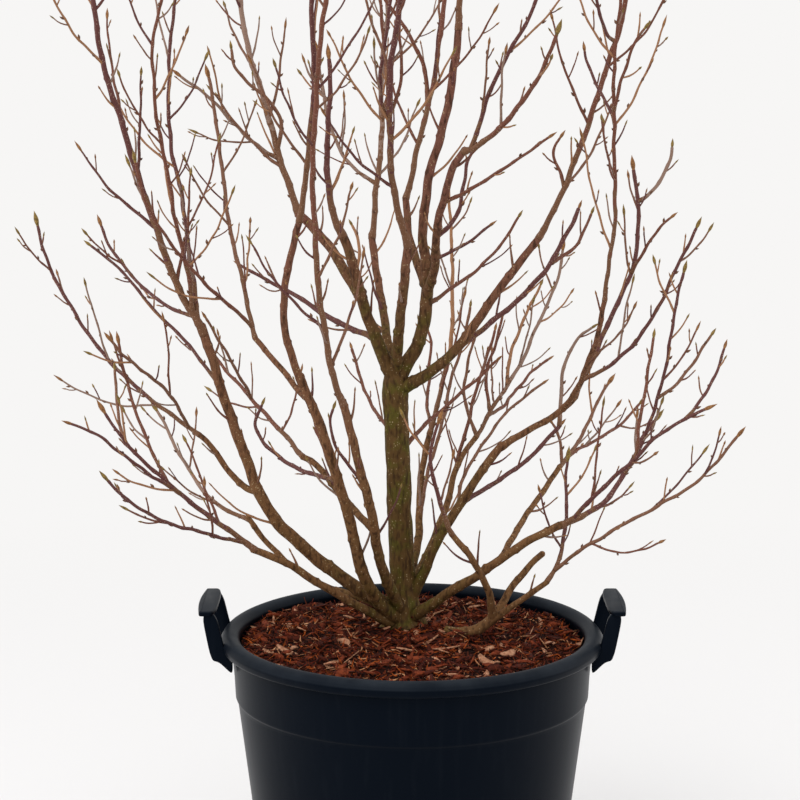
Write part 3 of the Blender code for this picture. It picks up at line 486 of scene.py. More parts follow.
class Shrub:
    """Lays out every limb: the measured ones, the seeded twigs of the model's own rule and finer twigs by
    the same.
    """

    fine_spacing = 0.040
    leader_spacing = 0.055
    bough_spacing = 0.055
    back_starts = 0.10
    back_longer = 1.6

    def __init__(self) -> None:
        """Grows the whole shrub, from the trunk outwards."""
        self.room = Room()
        self.strands: list[Strand] = []
        self.limbs: dict[str, Strand] = {}
        self.lay_out_trunk()
        self.lay_out_boughs()
        masses = [(limb, self.lay_out_mass(limb)) for limb in LEADERS]
        self.lay_out_branches()
        for limb, carriers in masses:
            self.grow_twigs(limb, carriers)
        self.grow_fine_twigs()

    def add(self, strand: Strand) -> Strand:
        """Keeps a limb and traces it with the crookedness of its age."""
        step, bend = {
            Stage.TRUNK: (0.0016, 0.0005),
            Stage.BOUGH: (0.0021, 0.0006),
            Stage.LEADER: (0.0029, 0.0008),
            Stage.ARM: (0.0030, 0.0009),
            Stage.TWIG: (0.0038, 0.0008),
            Stage.FINE: (0.0045, 0.0007),
        }[strand.stage]
        strand.trace(step, bend)
        self.strands.append(strand)
        return strand

    def lay_out_trunk(self) -> None:
        """The trunk's centre line and radii: a flat foot, a root flare, a slight lean and a knobby fork."""
        share = np.array((0, 0.02, 0.05, 0.09, 0.15, 0.25, 0.40, 0.55, 0.70, 0.84, 0.94, 1.0))
        foot = MOUND_TOP + 0.0003
        height = foot + (TRUNK_TIP[2] - foot) * share
        lean = np.maximum(share - 0.03, 0)
        across = TRUNK_X + (TRUNK_TIP[0] - TRUNK_X) * lean / lean[-1]
        radii = TRUNK_RADIUS + FLARE_WIDTH * np.exp(-(height - foot) / FLARE_HEIGHT)
        radii += FORK_SWELL * np.exp(-(((share - 0.92) / 0.06) ** 2))
        radii[-1] *= 0.72
        points = np.stack([across, np.full(len(share), TRUNK_Y), height], axis=1)
        self.room.take("trunk", points, radii)
        self.limbs["trunk"] = self.add(Strand("trunk", Stage.TRUNK, "trunk", points, radii))

    def lay_out_boughs(self) -> None:
        """The sucker's foot and the boughs, each from its parent."""
        start = np.array(SUCKER_START) * MM
        points = course(SUCKER_FOOT, start, BOUGH_POINTS)
        points[0, 2] = start[2]
        radii = radii_of(SUCKER_FOOT, BOUGH_POINTS)
        self.room.take("sucker_foot", points, radii)
        self.limbs["sucker_foot"] = self.add(Strand("sucker_foot", Stage.BOUGH, "sucker_foot", points, radii))
        for limb in BOUGHS:
            parent = self.limbs[limb.parent]
            points = course(limb, place_on(parent.points, limb.share), BOUGH_POINTS)
            radii = radii_of(limb, BOUGH_POINTS)
            self.room.take(limb.name, points, radii)
            strand = Strand(limb.name, Stage.BOUGH, limb.name, points, radii, None, parent, limb.share)
            self.limbs[limb.name] = self.add(strand)

    def lay_out_mass(self, limb: Limb) -> list[tuple[str, Strand]]:
        """A mass's leader, from its bough's tip, and its arms."""
        bough = self.limbs[limb.parent]
        points = course(limb, place_on(bough.points, limb.share), LEADER_POINTS)
        radii = radii_of(limb, LEADER_POINTS)
        name = "leader " + limb.name
        leader = self.add(Strand(name, Stage.LEADER, limb.name, points, radii, LEADER_BUD, bough, limb.share))
        carriers = [(name, leader)]
        for arm in ARMS:
            if arm.name == limb.name:
                points = course(arm, place_on(leader.points, arm.share), ARM_POINTS)
                radii = radii_of(arm, ARM_POINTS)
                name = f"arm {len(carriers)} {arm.name}"
                strand = Strand(name, Stage.ARM, limb.name, points, radii, ARM_BUD, leader, arm.share)
                carriers.append((name, self.add(strand)))
        for name, strand in carriers:
            self.limbs[name] = strand
            self.room.take(name, *with_bud(strand.points, strand.radii, *strand.bud))
        return carriers

    def lay_out_branches(self) -> None:
        """The thinner branches, each from the limb that it is said to leave."""
        for number, limb in enumerate(BRANCHES, 1):
            parent = self.limbs[limb.parent]
            points = course(limb, place_on(parent.points, limb.share), ARM_POINTS)
            name = f"branch {number} {limb.name}"
            strand = Strand(
                name, Stage.ARM, limb.name, points, radii_of(limb, ARM_POINTS), BRANCH_BUD, parent, limb.share
            )
            self.room.take(name, *with_bud(points, strand.radii, *strand.bud))
            self.limbs[name] = self.add(strand)

    def twig_on(self, carrier: Strand, share: float, turn: float, draw: random.Random) -> Strand:
        """A twig that leaves its carrier at a slant and bends upwards.

        Args:
            carrier: the limb that it grows on.
            share: its place along that limb.
            turn: its side of the limb, as an angle round it.
            draw: the seeded draws.

        Returns:
            The twig, not yet kept.
        """
        line = carrier.points
        root = place_on(line, share)
        ahead = unit(place_on(line, min(share + 0.02, 1)) - place_on(line, share - 0.02))
        aside = unit(np.cross(ahead, (0.31, 0.17, 0.94)))
        across = math.cos(turn) * aside + math.sin(turn) * np.cross(ahead, aside)
        slant = math.radians(draw.uniform(*TWIG_SLANT))
        leave = math.cos(slant) * ahead + math.sin(slant) * across
        arrive = unit(leave + ahead * 0.35 + np.array((0, 0, draw.uniform(*TWIG_RISE))))
        room_left = np.linalg.norm(line[-1] - root)
        length = draw.uniform(0.75, 1.25) * (TWIG_SHORTEST + TWIG_REACH_SHARE * room_left)
        length = min(max(length, TWIG_SHORTEST), TWIG_LONGEST)
        middle = root + leave * length * 0.5
        tip = middle + arrive * length * 0.5
        steps = np.array((0, 0.35, 0.7, 1.0))[:, None]
        points = (1 - steps) ** 2 * root + 2 * (1 - steps) * steps * middle + steps**2 * tip
        carrier_radius = np.interp(share, (0, 1), (carrier.radii[0], carrier.radii[-1]))
        thickest = np.clip(0.55 * carrier_radius, *TWIG_ROOT_RADII)
        sizes = np.linspace(thickest, TWIG_END_RADIUS, len(points))
        bud = (draw.uniform(*TWIG_BUD_LENGTH), draw.uniform(*TWIG_BUD_RADIUS))
        return Strand("", Stage.TWIG, carrier.home, points, sizes, bud, carrier, share)

    def keep_if_free(self, twig: Strand, carrier: str, owner: str, room: float) -> bool:
        """Keeps a twig that touches nothing and stays above the pot."""
        points, radii = with_bud(twig.points, twig.radii, *twig.bud)
        if self.room.gap(points[1:], radii[1:], carrier) < room or points[:, 2].min() < LOWEST_TWIG:
            return False
        self.room.take(owner, points[1:], radii[1:])
        twig.name = f"{owner} {len(self.strands)}"
        self.add(twig)
        return True

    def grow_twigs(self, limb: Limb, carriers: list[tuple[str, Strand]]) -> None:
        """The twigs of one mass, by the same seeded rule and draws as in the model."""
        draw = random.Random("twigs of " + limb.name)
        for name, carrier in carriers:
            length = np.linalg.norm(np.diff(carrier.points, axis=0), axis=1).sum()
            count = int(length / TWIG_SPACING)
            turn = draw.uniform(0, 2 * math.pi)
            for index in range(count):
                turn += GOLDEN_TURN
                share = TWIG_FIRST_SHARE + TWIG_SHARE_SPAN * (index + draw.uniform(0.35, 0.65)) / count
                twig = self.twig_on(carrier, share, turn, draw)
                self.keep_if_free(twig, name, "twig " + limb.name, TWIG_ROOM)

    def grow_fine_twigs(self) -> None:
        """Finer twigs by the same rule: on boughs, leaders, arms and the twigs themselves, shorter and
        thinner.
        """
        reach = {
            Stage.BOUGH: (self.bough_spacing, 0.35, 0.85),
            Stage.LEADER: (self.leader_spacing, 0.12, 0.45),
            Stage.ARM: (self.fine_spacing, 0.12, 0.50),
            Stage.TWIG: (self.fine_spacing, 0.30, 0.42),
        }
        for carrier in list(self.strands):
            if carrier.stage not in reach or carrier.name in ("sucker_foot", "sucker_stub"):
                continue
            spacing, first, scale = reach[carrier.stage]
            if carrier.points[-1, 1] > self.back_starts:
                scale *= self.back_longer
            draw = random.Random("fine twigs of " + carrier.name)
            length = np.linalg.norm(np.diff(carrier.points, axis=0), axis=1).sum()
            count = int(length * (1 - first) / spacing)
            turn = draw.uniform(0, 2 * math.pi)
            for index in range(count):
                turn += GOLDEN_TURN
                share = first + (0.96 - first) * (index + draw.uniform(0.2, 0.8)) / count
                twig = self.twig_on(carrier, share, turn, draw)
                shrink = scale * draw.uniform(0.45, 1.0)
                twig.points = twig.points[0] + (twig.points - twig.points[0]) * shrink
                twig.radii = twig.radii * (0.78 if carrier.stage is not Stage.TWIG else 0.66)
                twig.bud = (twig.bud[0] * 0.52, twig.bud[1] * 0.60)
                twig.stage = Stage.FINE
                carrier_owner = carrier.name
                if carrier.stage is Stage.TWIG:
                    carrier_owner = "twig " + carrier.home
                self.keep_if_free(twig, carrier_owner, "fine " + carrier.home, 0.0004)


@dataclass
class Stock:
    """Surfaces gathered into one mesh, with a material number for each face."""

    points: list[Array] = field(default_factory=list)
    quads: list[Array] = field(default_factory=list)
    tris: list[Array] = field(default_factory=list)
    quad_slots: list[Array] = field(default_factory=list)
    tri_slots: list[Array] = field(default_factory=list)
    size: int = 0

    def add(self, points: Array, quads: Array, tris: Array, slot: int | Array = 0) -> None:
        """Adds a surface whose faces count its own points from 0. Slots may be one for each quad."""
        self.points.append(points)
        self.quads.append(quads + self.size)
        self.tris.append(tris + self.size)
        self.quad_slots.append(np.broadcast_to(slot, len(quads)))
        self.tri_slots.append(np.full(len(tris), slot if np.ndim(slot) == 0 else slot[-1]))
        self.size += len(points)

    def triangles(self) -> int:
        """How many triangles the mesh has so far."""
        return sum(2 * len(part) for part in self.quads) + sum(len(part) for part in self.tris)

    def piece(self, name: str, materials: Materials, slot: str, nodes: list[str]) -> bpy.types.Object:
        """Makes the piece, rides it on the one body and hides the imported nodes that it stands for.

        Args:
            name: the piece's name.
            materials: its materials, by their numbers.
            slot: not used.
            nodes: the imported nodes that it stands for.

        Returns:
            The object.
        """
        points = np.vstack(self.points)
        quads = np.vstack(self.quads)
        tris = np.vstack(self.tris)
        mesh = bpy.data.meshes.new(name)
        mesh.from_pydata(points, [], quads.tolist() + tris.tolist())
        mesh.polygons.foreach_set("material_index", np.concatenate(self.quad_slots + self.tri_slots))
        mesh.shade_smooth()
        for material in materials:
            mesh.materials.append(material)
        return finished(name, mesh, nodes)


def finished(name: str, mesh: bpy.types.Mesh, nodes: list[str]) -> bpy.types.Object:
    """Puts a mesh into the scene as a piece, rides it on the one body and logs it."""
    piece = bpy.data.objects.new(name, mesh)
    bpy.context.scene.collection.objects.link(piece)
    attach(piece, "root")
    if nodes:
        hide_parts(*nodes)
    LOG.info("%s: %d points, %d faces", name, len(mesh.vertices), len(mesh.polygons))
    return piece


def grid_faces(rows: int, columns: int, closed: bool = True) -> Array:
    """The quads of a grid of rows by columns, whose columns may join round into a ring."""
    row = np.arange(rows - 1)[:, None]
    column = np.arange(columns if closed else columns - 1)[None]
    after = (column + 1) % columns
    near = row * columns
    far = near + columns
    return np.stack([near + column, near + after, far + after, far + column], axis=-1).reshape(-1, 4)


def fan(ring: Array, centre: int, outward: bool) -> Array:
    """Triangles from a ring of points to one centre point."""
    ahead = np.roll(ring, -1)
    middle = np.full(len(ring), centre)
    return np.stack([ring, ahead, middle] if outward else [ahead, ring, middle], axis=1)


def rings_of(path: Array) -> tuple[Array, Array, Array]:
    """The direction of a path at each point and two unit vectors across it that keep their heading."""
    ahead = unit(np.gradient(path, axis=0))
    whole = unit(path[-1] - path[0])
    guess = np.array((1.0, 0, 0)) if abs(whole[0]) < 0.8 else np.array((0, 1.0, 0))
    first = unit(guess - (ahead @ guess)[:, None] * ahead)
    return ahead, first, np.cross(ahead, first)


def tube(path: Array, radii: Array, sides: int, relief: Array | None = None) -> Surface:
    """A limb's skin: at each point of the path a ring of radius times (first across, second across) times
    (cos, sin), with the relief added to the radius, a flat start and a rounded end.

    Args:
        path: the centre line.
        radii: the radius at each point.
        sides: how many points go round.
        relief: added to the radius, one row for each ring.

    Returns:
        Points, quads and triangles.
    """
    turn = 2 * math.pi * np.arange(sides) / sides
    ahead, first, second = rings_of(path)
    reach = np.repeat(radii[:, None], sides, axis=1)
    if relief is not None:
        reach = reach + relief
    out = first[:, None] * np.cos(turn)[None, :, None] + second[:, None] * np.sin(turn)[None, :, None]
    skin = path[:, None] + out * reach[:, :, None]
    dome = path[-1] + ahead[-1] * radii[-1] * 0.55 + out[-1] * reach[-1][:, None] * 0.6
    points = np.vstack([skin.reshape(-1, 3), dome, path[-1] + ahead[-1] * radii[-1] * 0.8, path[0]])
    rows = len(path) + 1
    last = np.arange((rows - 1) * sides, rows * sides)
    tris = np.vstack([fan(last, rows * sides, True), fan(np.arange(sides), rows * sides + 1, False)])
    return points, grid_faces(rows, sides), tris


def revolve(profile: Array, steps: int, wobble: Array | None = None) -> Surface:
    """A turned surface: each profile point (radius, height) goes round the Z axis, with poles closed to one
    point.

    Args:
        profile: rows of radius and height, from one pole to the other.
        steps: how many points go round.
        wobble: heights added, one row for each ring.

    Returns:
        Points, quads and triangles.
    """
    turn = 2 * math.pi * np.arange(steps) / steps
    body = profile[1:-1]
    height = np.repeat(body[:, 1:], steps, axis=1)
    if wobble is not None:
        height = height + wobble
    across = body[:, :1] * np.cos(turn)
    deep = body[:, :1] * np.sin(turn)
    skin = np.stack([across, deep, height], -1).reshape(-1, 3)
    points = np.vstack([skin, (0, 0, profile[0, 1]), (0, 0, profile[-1, 1])])
    count = len(body) * steps
    last = np.arange(count - steps, count)
    tris = np.vstack([fan(np.arange(steps), count, False), fan(last, count + 1, True)])
    return points, grid_faces(len(body), steps), tris


def linear(code: str) -> Colour:
    """An sRGB hex colour as linear red, green, blue and full alpha."""
    parts = [int(code[place : place + 2], 16) / 255 for place in (1, 3, 5)]
    straight = [part / 12.92 if part <= 0.04045 else ((part + 0.055) / 1.055) ** 2.4 for part in parts]
    return (*straight, 1.0)


def add_node(
    tree: bpy.types.NodeTree, kind: str, inputs: dict | None = None, **settings: object
) -> bpy.types.Node:
    """Adds a shader node.

    Args:
        tree: the material's tree.
        kind: the node's type.
        inputs: socket name or number to a value, or to the output socket that feeds it.
        settings: the node's own settings.

    Returns:
        The node.
    """
    item = tree.nodes.new(kind)
    for key, value in settings.items():
        setattr(item, key, value)
    for key, value in (inputs or {}).items():
        if isinstance(value, bpy.types.NodeSocket):
            tree.links.new(value, item.inputs[key])
        else:
            item.inputs[key].default_value = value
    return item


def new_material(name: str, roughness: float, specular: float) -> tuple[bpy.types.Material, bpy.types.Node]:
    """A material and its Principled shader."""
    material = bpy.data.materials.new(name)
    material.use_nodes = True
    shader = material.node_tree.nodes["Principled BSDF"]
    shader.inputs["Roughness"].default_value = roughness
    shader.inputs["Specular IOR Level"].default_value = specular
    return material, shader


@dataclass(frozen=True)
class MouldedPolypropylene:
    """Black-navy polypropylene, injection-moulded: a satin skin with dust on its upward faces and dull
    scuffs.
    """

    base: str = "#060b13"
    dust: str = "#30353b"
    streak_mm: float = 9.0

    def make(self) -> bpy.types.Material:
        """Builds the material: dust by the face's tilt and patchy noise, faint streaks down the wall, fine
        grain.
        """
        material, shader = new_material("moulded_polypropylene", 0.42, 0.06)
        shader.inputs["Specular Tint"].default_value = linear("#b4c6de")
        tree = material.node_tree
        place = add_node(tree, "ShaderNodeTexCoord").outputs["Object"]
        up = add_node(tree, "ShaderNodeNewGeometry").outputs["Normal"]
        tilt = add_node(tree, "ShaderNodeSeparateXYZ", {0: up}).outputs[2]
        stretched = add_node(tree, "ShaderNodeMapping", {"Vector": place, "Scale": (1, 1, 0.06)}).outputs[0]
        streaks = add_node(
            tree, "ShaderNodeTexNoise", {"Vector": stretched, "Scale": 1000 / self.streak_mm, "Detail": 5}
        ).outputs[0]
        patches = add_node(tree, "ShaderNodeTexNoise", {"Vector": place, "Scale": 26, "Detail": 6}).outputs[0]
        specks = add_node(tree, "ShaderNodeTexNoise", {"Vector": place, "Scale": 900, "Detail": 2}).outputs[0]
        level = add_node(
            tree, "ShaderNodeMapRange", {"Value": tilt, "From Min": 0.20, "From Max": 0.95, "To Max": 0.62}
        ).outputs[0]
        patchy = add_node(
            tree, "ShaderNodeMapRange", {"Value": patches, "From Min": 0.42, "From Max": 0.68, "To Min": 0.45}
        ).outputs[0]
        laid = add_node(tree, "ShaderNodeMath", {0: level, 1: patchy}, operation="MULTIPLY").outputs[0]
        run = add_node(
            tree,
            "ShaderNodeMapRange",
            {"Value": streaks, "From Min": 0.52, "From Max": 0.78, "To Max": 0.06},
        ).outputs[0]
        speck = add_node(
            tree,
            "ShaderNodeMapRange",
            {"Value": specks, "From Min": 0.74, "From Max": 0.80, "To Max": 0.35},
        ).outputs[0]
        both = add_node(tree, "ShaderNodeMath", {0: laid, 1: run}, operation="ADD").outputs[0]
        whole = add_node(
            tree, "ShaderNodeMath", {0: both, 1: speck}, operation="ADD", use_clamp=True
        ).outputs[0]
        colour = add_node(
            tree,
            "ShaderNodeMix",
            {MIX_FACTOR: whole, MIX_FIRST: linear(self.base), MIX_SECOND: linear(self.dust)},
            data_type="RGBA",
        ).outputs[MIX_RESULT]
        tree.links.new(colour, shader.inputs["Base Color"])
        dull = add_node(
            tree, "ShaderNodeMapRange", {"Value": whole, "To Min": 0.36, "To Max": 0.75}
        ).outputs[0]
        tree.links.new(dull, shader.inputs["Roughness"])
        grain = add_node(tree, "ShaderNodeTexNoise", {"Vector": place, "Scale": 420, "Detail": 3}).outputs[0]
        bump = add_node(
            tree, "ShaderNodeBump", {"Height": grain, "Strength": 0.10, "Distance": 0.0004}
        ).outputs[0]
        tree.links.new(bump, shader.inputs["Normal"])
        return material


@dataclass(frozen=True)
class ShreddedBark:
    """Shredded conifer bark: dry matt fibre whose colour changes a little along it."""

    name: str
    colour: str
    deep: str

    def make(self) -> bpy.types.Material:
        """Builds the material: two close colours in a soft noise of about 4 mm."""
        material, shader = new_material("shredded_bark_" + self.name, 0.88, 0.12)
        tree = material.node_tree
        place = add_node(tree, "ShaderNodeTexCoord").outputs["Object"]
        noise = add_node(tree, "ShaderNodeTexNoise", {"Vector": place, "Scale": 240, "Detail": 4}).outputs[0]
        factor = add_node(
            tree, "ShaderNodeMapRange", {"Value": noise, "From Min": 0.35, "From Max": 0.65}
        ).outputs[0]
        colour = add_node(
            tree,
            "ShaderNodeMix",
            {MIX_FACTOR: factor, MIX_FIRST: linear(self.deep), MIX_SECOND: linear(self.colour)},
            data_type="RGBA",
        ).outputs[MIX_RESULT]
        tree.links.new(colour, shader.inputs["Base Color"])
        bump = add_node(
            tree, "ShaderNodeBump", {"Height": noise, "Strength": 0.5, "Distance": 0.0006}
        ).outputs[0]
        tree.links.new(bump, shader.inputs["Normal"])
        return material


@dataclass(frozen=True)
class OldBark:
    """Bark of old magnolia wood: olive-brown with green moss on the trunk, red-brown boughs, pale
    lenticels.
    """

    trunk: str = "#563f20"
    bough: str = "#6e4d30"
    high: str = "#6e463a"
    moss: str = "#504a18"
    pale: str = "#b09b78"
    dark: str = "#2e1c0f"

    def make(self) -> bpy.types.Material:
        """Builds the material: colour by height, moss and lichen in noise patches, painted shade in the
        grooves between the ridges, lenticels as fine cells.
        """
        material, shader = new_material("old_magnolia_bark", 0.78, 0.14)
        tree = material.node_tree
        place = add_node(tree, "ShaderNodeTexCoord").outputs["Object"]
        height = add_node(tree, "ShaderNodeSeparateXYZ", {0: place}).outputs[2]
        rise = add_node(
            tree, "ShaderNodeMapRange", {"Value": height, "From Min": 0.52, "From Max": 0.92}
        ).outputs[0]
        patches = add_node(tree, "ShaderNodeTexNoise", {"Vector": place, "Scale": 60, "Detail": 6}).outputs[0]
        along = add_node(tree, "ShaderNodeMapping", {"Vector": place, "Scale": (1, 1, 0.3)}).outputs[0]
        ridges = add_node(tree, "ShaderNodeTexNoise", {"Vector": along, "Scale": 260, "Detail": 6}).outputs[0]
        level = add_node(
            tree,
            "ShaderNodeMapping",
            {"Vector": place, "Location": (-TRUNK_X, -TRUNK_Y, 0), "Scale": (1, 1, 0)},
        ).outputs[0]
        away = add_node(tree, "ShaderNodeVectorMath", {0: level}, operation="LENGTH").outputs["Value"]
        aside = add_node(
            tree, "ShaderNodeMapRange", {"Value": away, "From Min": 0.022, "From Max": 0.110}
        ).outputs[0]
        above = add_node(
            tree, "ShaderNodeMapRange", {"Value": height, "From Min": 0.66, "From Max": 0.90}
        ).outputs[0]
        far = add_node(tree, "ShaderNodeMath", {0: aside, 1: above}, operation="MAXIMUM").outputs[0]
        near = add_node(tree, "ShaderNodeMath", {0: 1.0, 1: far}, operation="SUBTRACT").outputs[0]
        damp = add_node(
            tree, "ShaderNodeMapRange", {"Value": far, "From Max": 0.9, "To Min": 0.85, "To Max": 0.08}
        ).outputs[0]
        mossy = add_node(
            tree, "ShaderNodeMapRange", {"Value": patches, "From Min": 0.46, "From Max": 0.62}
        ).outputs[0]
        green = add_node(tree, "ShaderNodeMath", {0: damp, 1: mossy}, operation="MULTIPLY").outputs[0]
        # Painted shade: where the ridge noise that also makes the bump is low, in the grooves between the
        # ridges, the colour is mixed towards the dark colour.
        painted_groove_shade = add_node(
            tree,
            "ShaderNodeMapRange",
            {"Value": ridges, "From Min": 0.50, "From Max": 0.34, "To Max": 0.75},
        ).outputs[0]
        dots = add_node(
            tree, "ShaderNodeTexVoronoi", {"Vector": place, "Scale": 330, "Randomness": 1.0}
        ).outputs["Distance"]
        dot = add_node(
            tree,
            "ShaderNodeMapRange",
            {"Value": dots, "From Min": 0.30, "From Max": 0.16, "To Max": 0.75},
        ).outputs[0]
        few = add_node(
            tree, "ShaderNodeMapRange", {"Value": ridges, "From Min": 0.50, "From Max": 0.60}
        ).outputs[0]
        spot = add_node(tree, "ShaderNodeMath", {0: dot, 1: few}, operation="MULTIPLY").outputs[0]
        colour = linear(self.bough)
        layers = (
            (rise, self.high),
            (near, self.trunk),
            (green, self.moss),
            # painted shade in the grooves between the bark ridges
            (painted_groove_shade, self.dark),
            (spot, self.pale),
        )
        for factor, layer in layers:
            colour = add_node(
                tree,
                "ShaderNodeMix",
                {MIX_FACTOR: factor, MIX_FIRST: colour, MIX_SECOND: linear(layer)},
                data_type="RGBA",
            ).outputs[MIX_RESULT]
        tree.links.new(colour, shader.inputs["Base Color"])
        bump = add_node(
            tree, "ShaderNodeBump", {"Height": ridges, "Strength": 0.55, "Distance": 0.0008}
        ).outputs[0]
        tree.links.new(bump, shader.inputs["Normal"])
        return material


@dataclass(frozen=True)
class YoungBark:
    """Smooth bark of young shoots: a satin red-brown skin with pale lenticels about a millimetre across."""

    name: str
    colour: str
    pale: str = "#b39a86"
    lenticels: float = 0.6

    def make(self) -> bpy.types.Material:
        """Builds the material: one colour, with fine pale dots and a light streak in its gloss."""
        material, shader = new_material("young_magnolia_bark_" + self.name, 0.58, 0.18)
        tree = material.node_tree
        place = add_node(tree, "ShaderNodeTexCoord").outputs["Object"]
        dots = add_node(tree, "ShaderNodeTexVoronoi", {"Vector": place, "Scale": 360}).outputs["Distance"]
        dot = add_node(
            tree,
            "ShaderNodeMapRange",
            {"Value": dots, "From Min": 0.26, "From Max": 0.14, "To Max": self.lenticels},
        ).outputs[0]
        colour = add_node(
            tree,
            "ShaderNodeMix",
            {MIX_FACTOR: dot, MIX_FIRST: linear(self.colour), MIX_SECOND: linear(self.pale)},
            data_type="RGBA",
        ).outputs[MIX_RESULT]
        tree.links.new(colour, shader.inputs["Base Color"])
        noise = add_node(tree, "ShaderNodeTexNoise", {"Vector": place, "Scale": 500, "Detail": 3}).outputs[0]
        bump = add_node(
            tree, "ShaderNodeBump", {"Height": noise, "Strength": 0.25, "Distance": 0.0004}
        ).outputs[0]
        tree.links.new(bump, shader.inputs["Normal"])
        return material


@dataclass(frozen=True)
class BudScale:
    """Downy bud scales: olive to yellow-green, with a soft sheen."""

    name: str
    colour: str
    deep: str

    def make(self) -> bpy.types.Material:
        """Builds the material: two close colours in a fine noise, with a sheen for the down."""
        material, shader = new_material("magnolia_bud_scale_" + self.name, 0.66, 0.16)
        shader.inputs["Sheen Weight"].default_value = 0.15
        tree = material.node_tree
        place = add_node(tree, "ShaderNodeTexCoord").outputs["Object"]
        noise = add_node(tree, "ShaderNodeTexNoise", {"Vector": place, "Scale": 420, "Detail": 4}).outputs[0]
        factor = add_node(
            tree, "ShaderNodeMapRange", {"Value": noise, "From Min": 0.38, "From Max": 0.62}
        ).outputs[0]
        colour = add_node(
            tree,
            "ShaderNodeMix",
            {MIX_FACTOR: factor, MIX_FIRST: linear(self.deep), MIX_SECOND: linear(self.colour)},
            data_type="RGBA",
        ).outputs[MIX_RESULT]
        tree.links.new(colour, shader.inputs["Base Color"])
        return material


@dataclass
class Pot:
    """The round pot: a rolled rim with a mould line, an upper band, a small step and a tapering wall."""

    steps: int = 288
    roll_steps: int = 22
    flash_height: float = 0.0007

    def wall_radius(self, height: float) -> float:
        """The outer radius below the step under the upper band."""
        top = BAND_FOOT_RADIUS - BAND_STEP
        return BASE_RADIUS + (top - BASE_RADIUS) * height / BAND_FOOT_HEIGHT

    def profile(self) -> Array:
        """The turned outline, from the middle of the floor up the inside, over the roll and down the outside.

        The roll is an arc of 210 degrees, and the step and the foot have small rounds.
        """
        roll_x = RIM_RADIUS - ROLL_RADIUS
        roll_z = POT_HEIGHT - ROLL_RADIUS
        turn = math.pi - np.linspace(0, math.pi * 7 / 6, self.roll_steps)
        reach = np.full(self.roll_steps, ROLL_RADIUS)
        reach[-5] += self.flash_height
        roll = np.stack([roll_x + reach * np.cos(turn), roll_z + reach * np.sin(turn)], axis=1)
        inner = [(self.wall_radius(z) - WALL, z) for z in (FLOOR, 0.10, 0.20, 0.30, 0.352)]
        step_top = BAND_FOOT_HEIGHT
        step_low = BAND_FOOT_HEIGHT - BAND_STEP
        outer = [
            (BAND_TOP_RADIUS - 0.0002, POT_HEIGHT - 2 * ROLL_RADIUS + 0.0012),
            (BAND_TOP_RADIUS - 0.0006, POT_HEIGHT - 2 * ROLL_RADIUS - 0.004),
            (BAND_FOOT_RADIUS + 0.0012, step_top + 0.025),
            (BAND_FOOT_RADIUS + 0.0001, step_top + 0.0025),
            (BAND_FOOT_RADIUS, step_top + 0.0005),
            (BAND_FOOT_RADIUS - 0.0004, step_top - 0.0004),
            (BAND_FOOT_RADIUS - BAND_STEP + 0.0004, step_low + 0.0002),
            (BAND_FOOT_RADIUS - BAND_STEP, step_low - 0.0008),
        ]
        outer += [(self.wall_radius(z), z) for z in (0.296, 0.24, 0.18, 0.12, 0.06, 0.012, 0.005)]
        foot = [(BASE_RADIUS - 0.0008, 0.0022), (BASE_RADIUS - 0.0022, 0.0006), (BASE_RADIUS - 0.004, 0)]
        rows = [(0, FLOOR), (0.08, FLOOR)] + inner + roll.tolist() + outer + foot + [(0.08, 0), (0, 0)]
        return np.array(rows)

    def build(self, plastic: bpy.types.Material) -> None:
        """Builds the pot as one turned surface."""
        stock = Stock()
        stock.add(*revolve(self.profile(), self.steps))
        piece = stock.piece("pot_shell", [plastic], "pot_plastic", ["pot"])
        piece.data.set_sharp_from_angle(angle=math.radians(50))


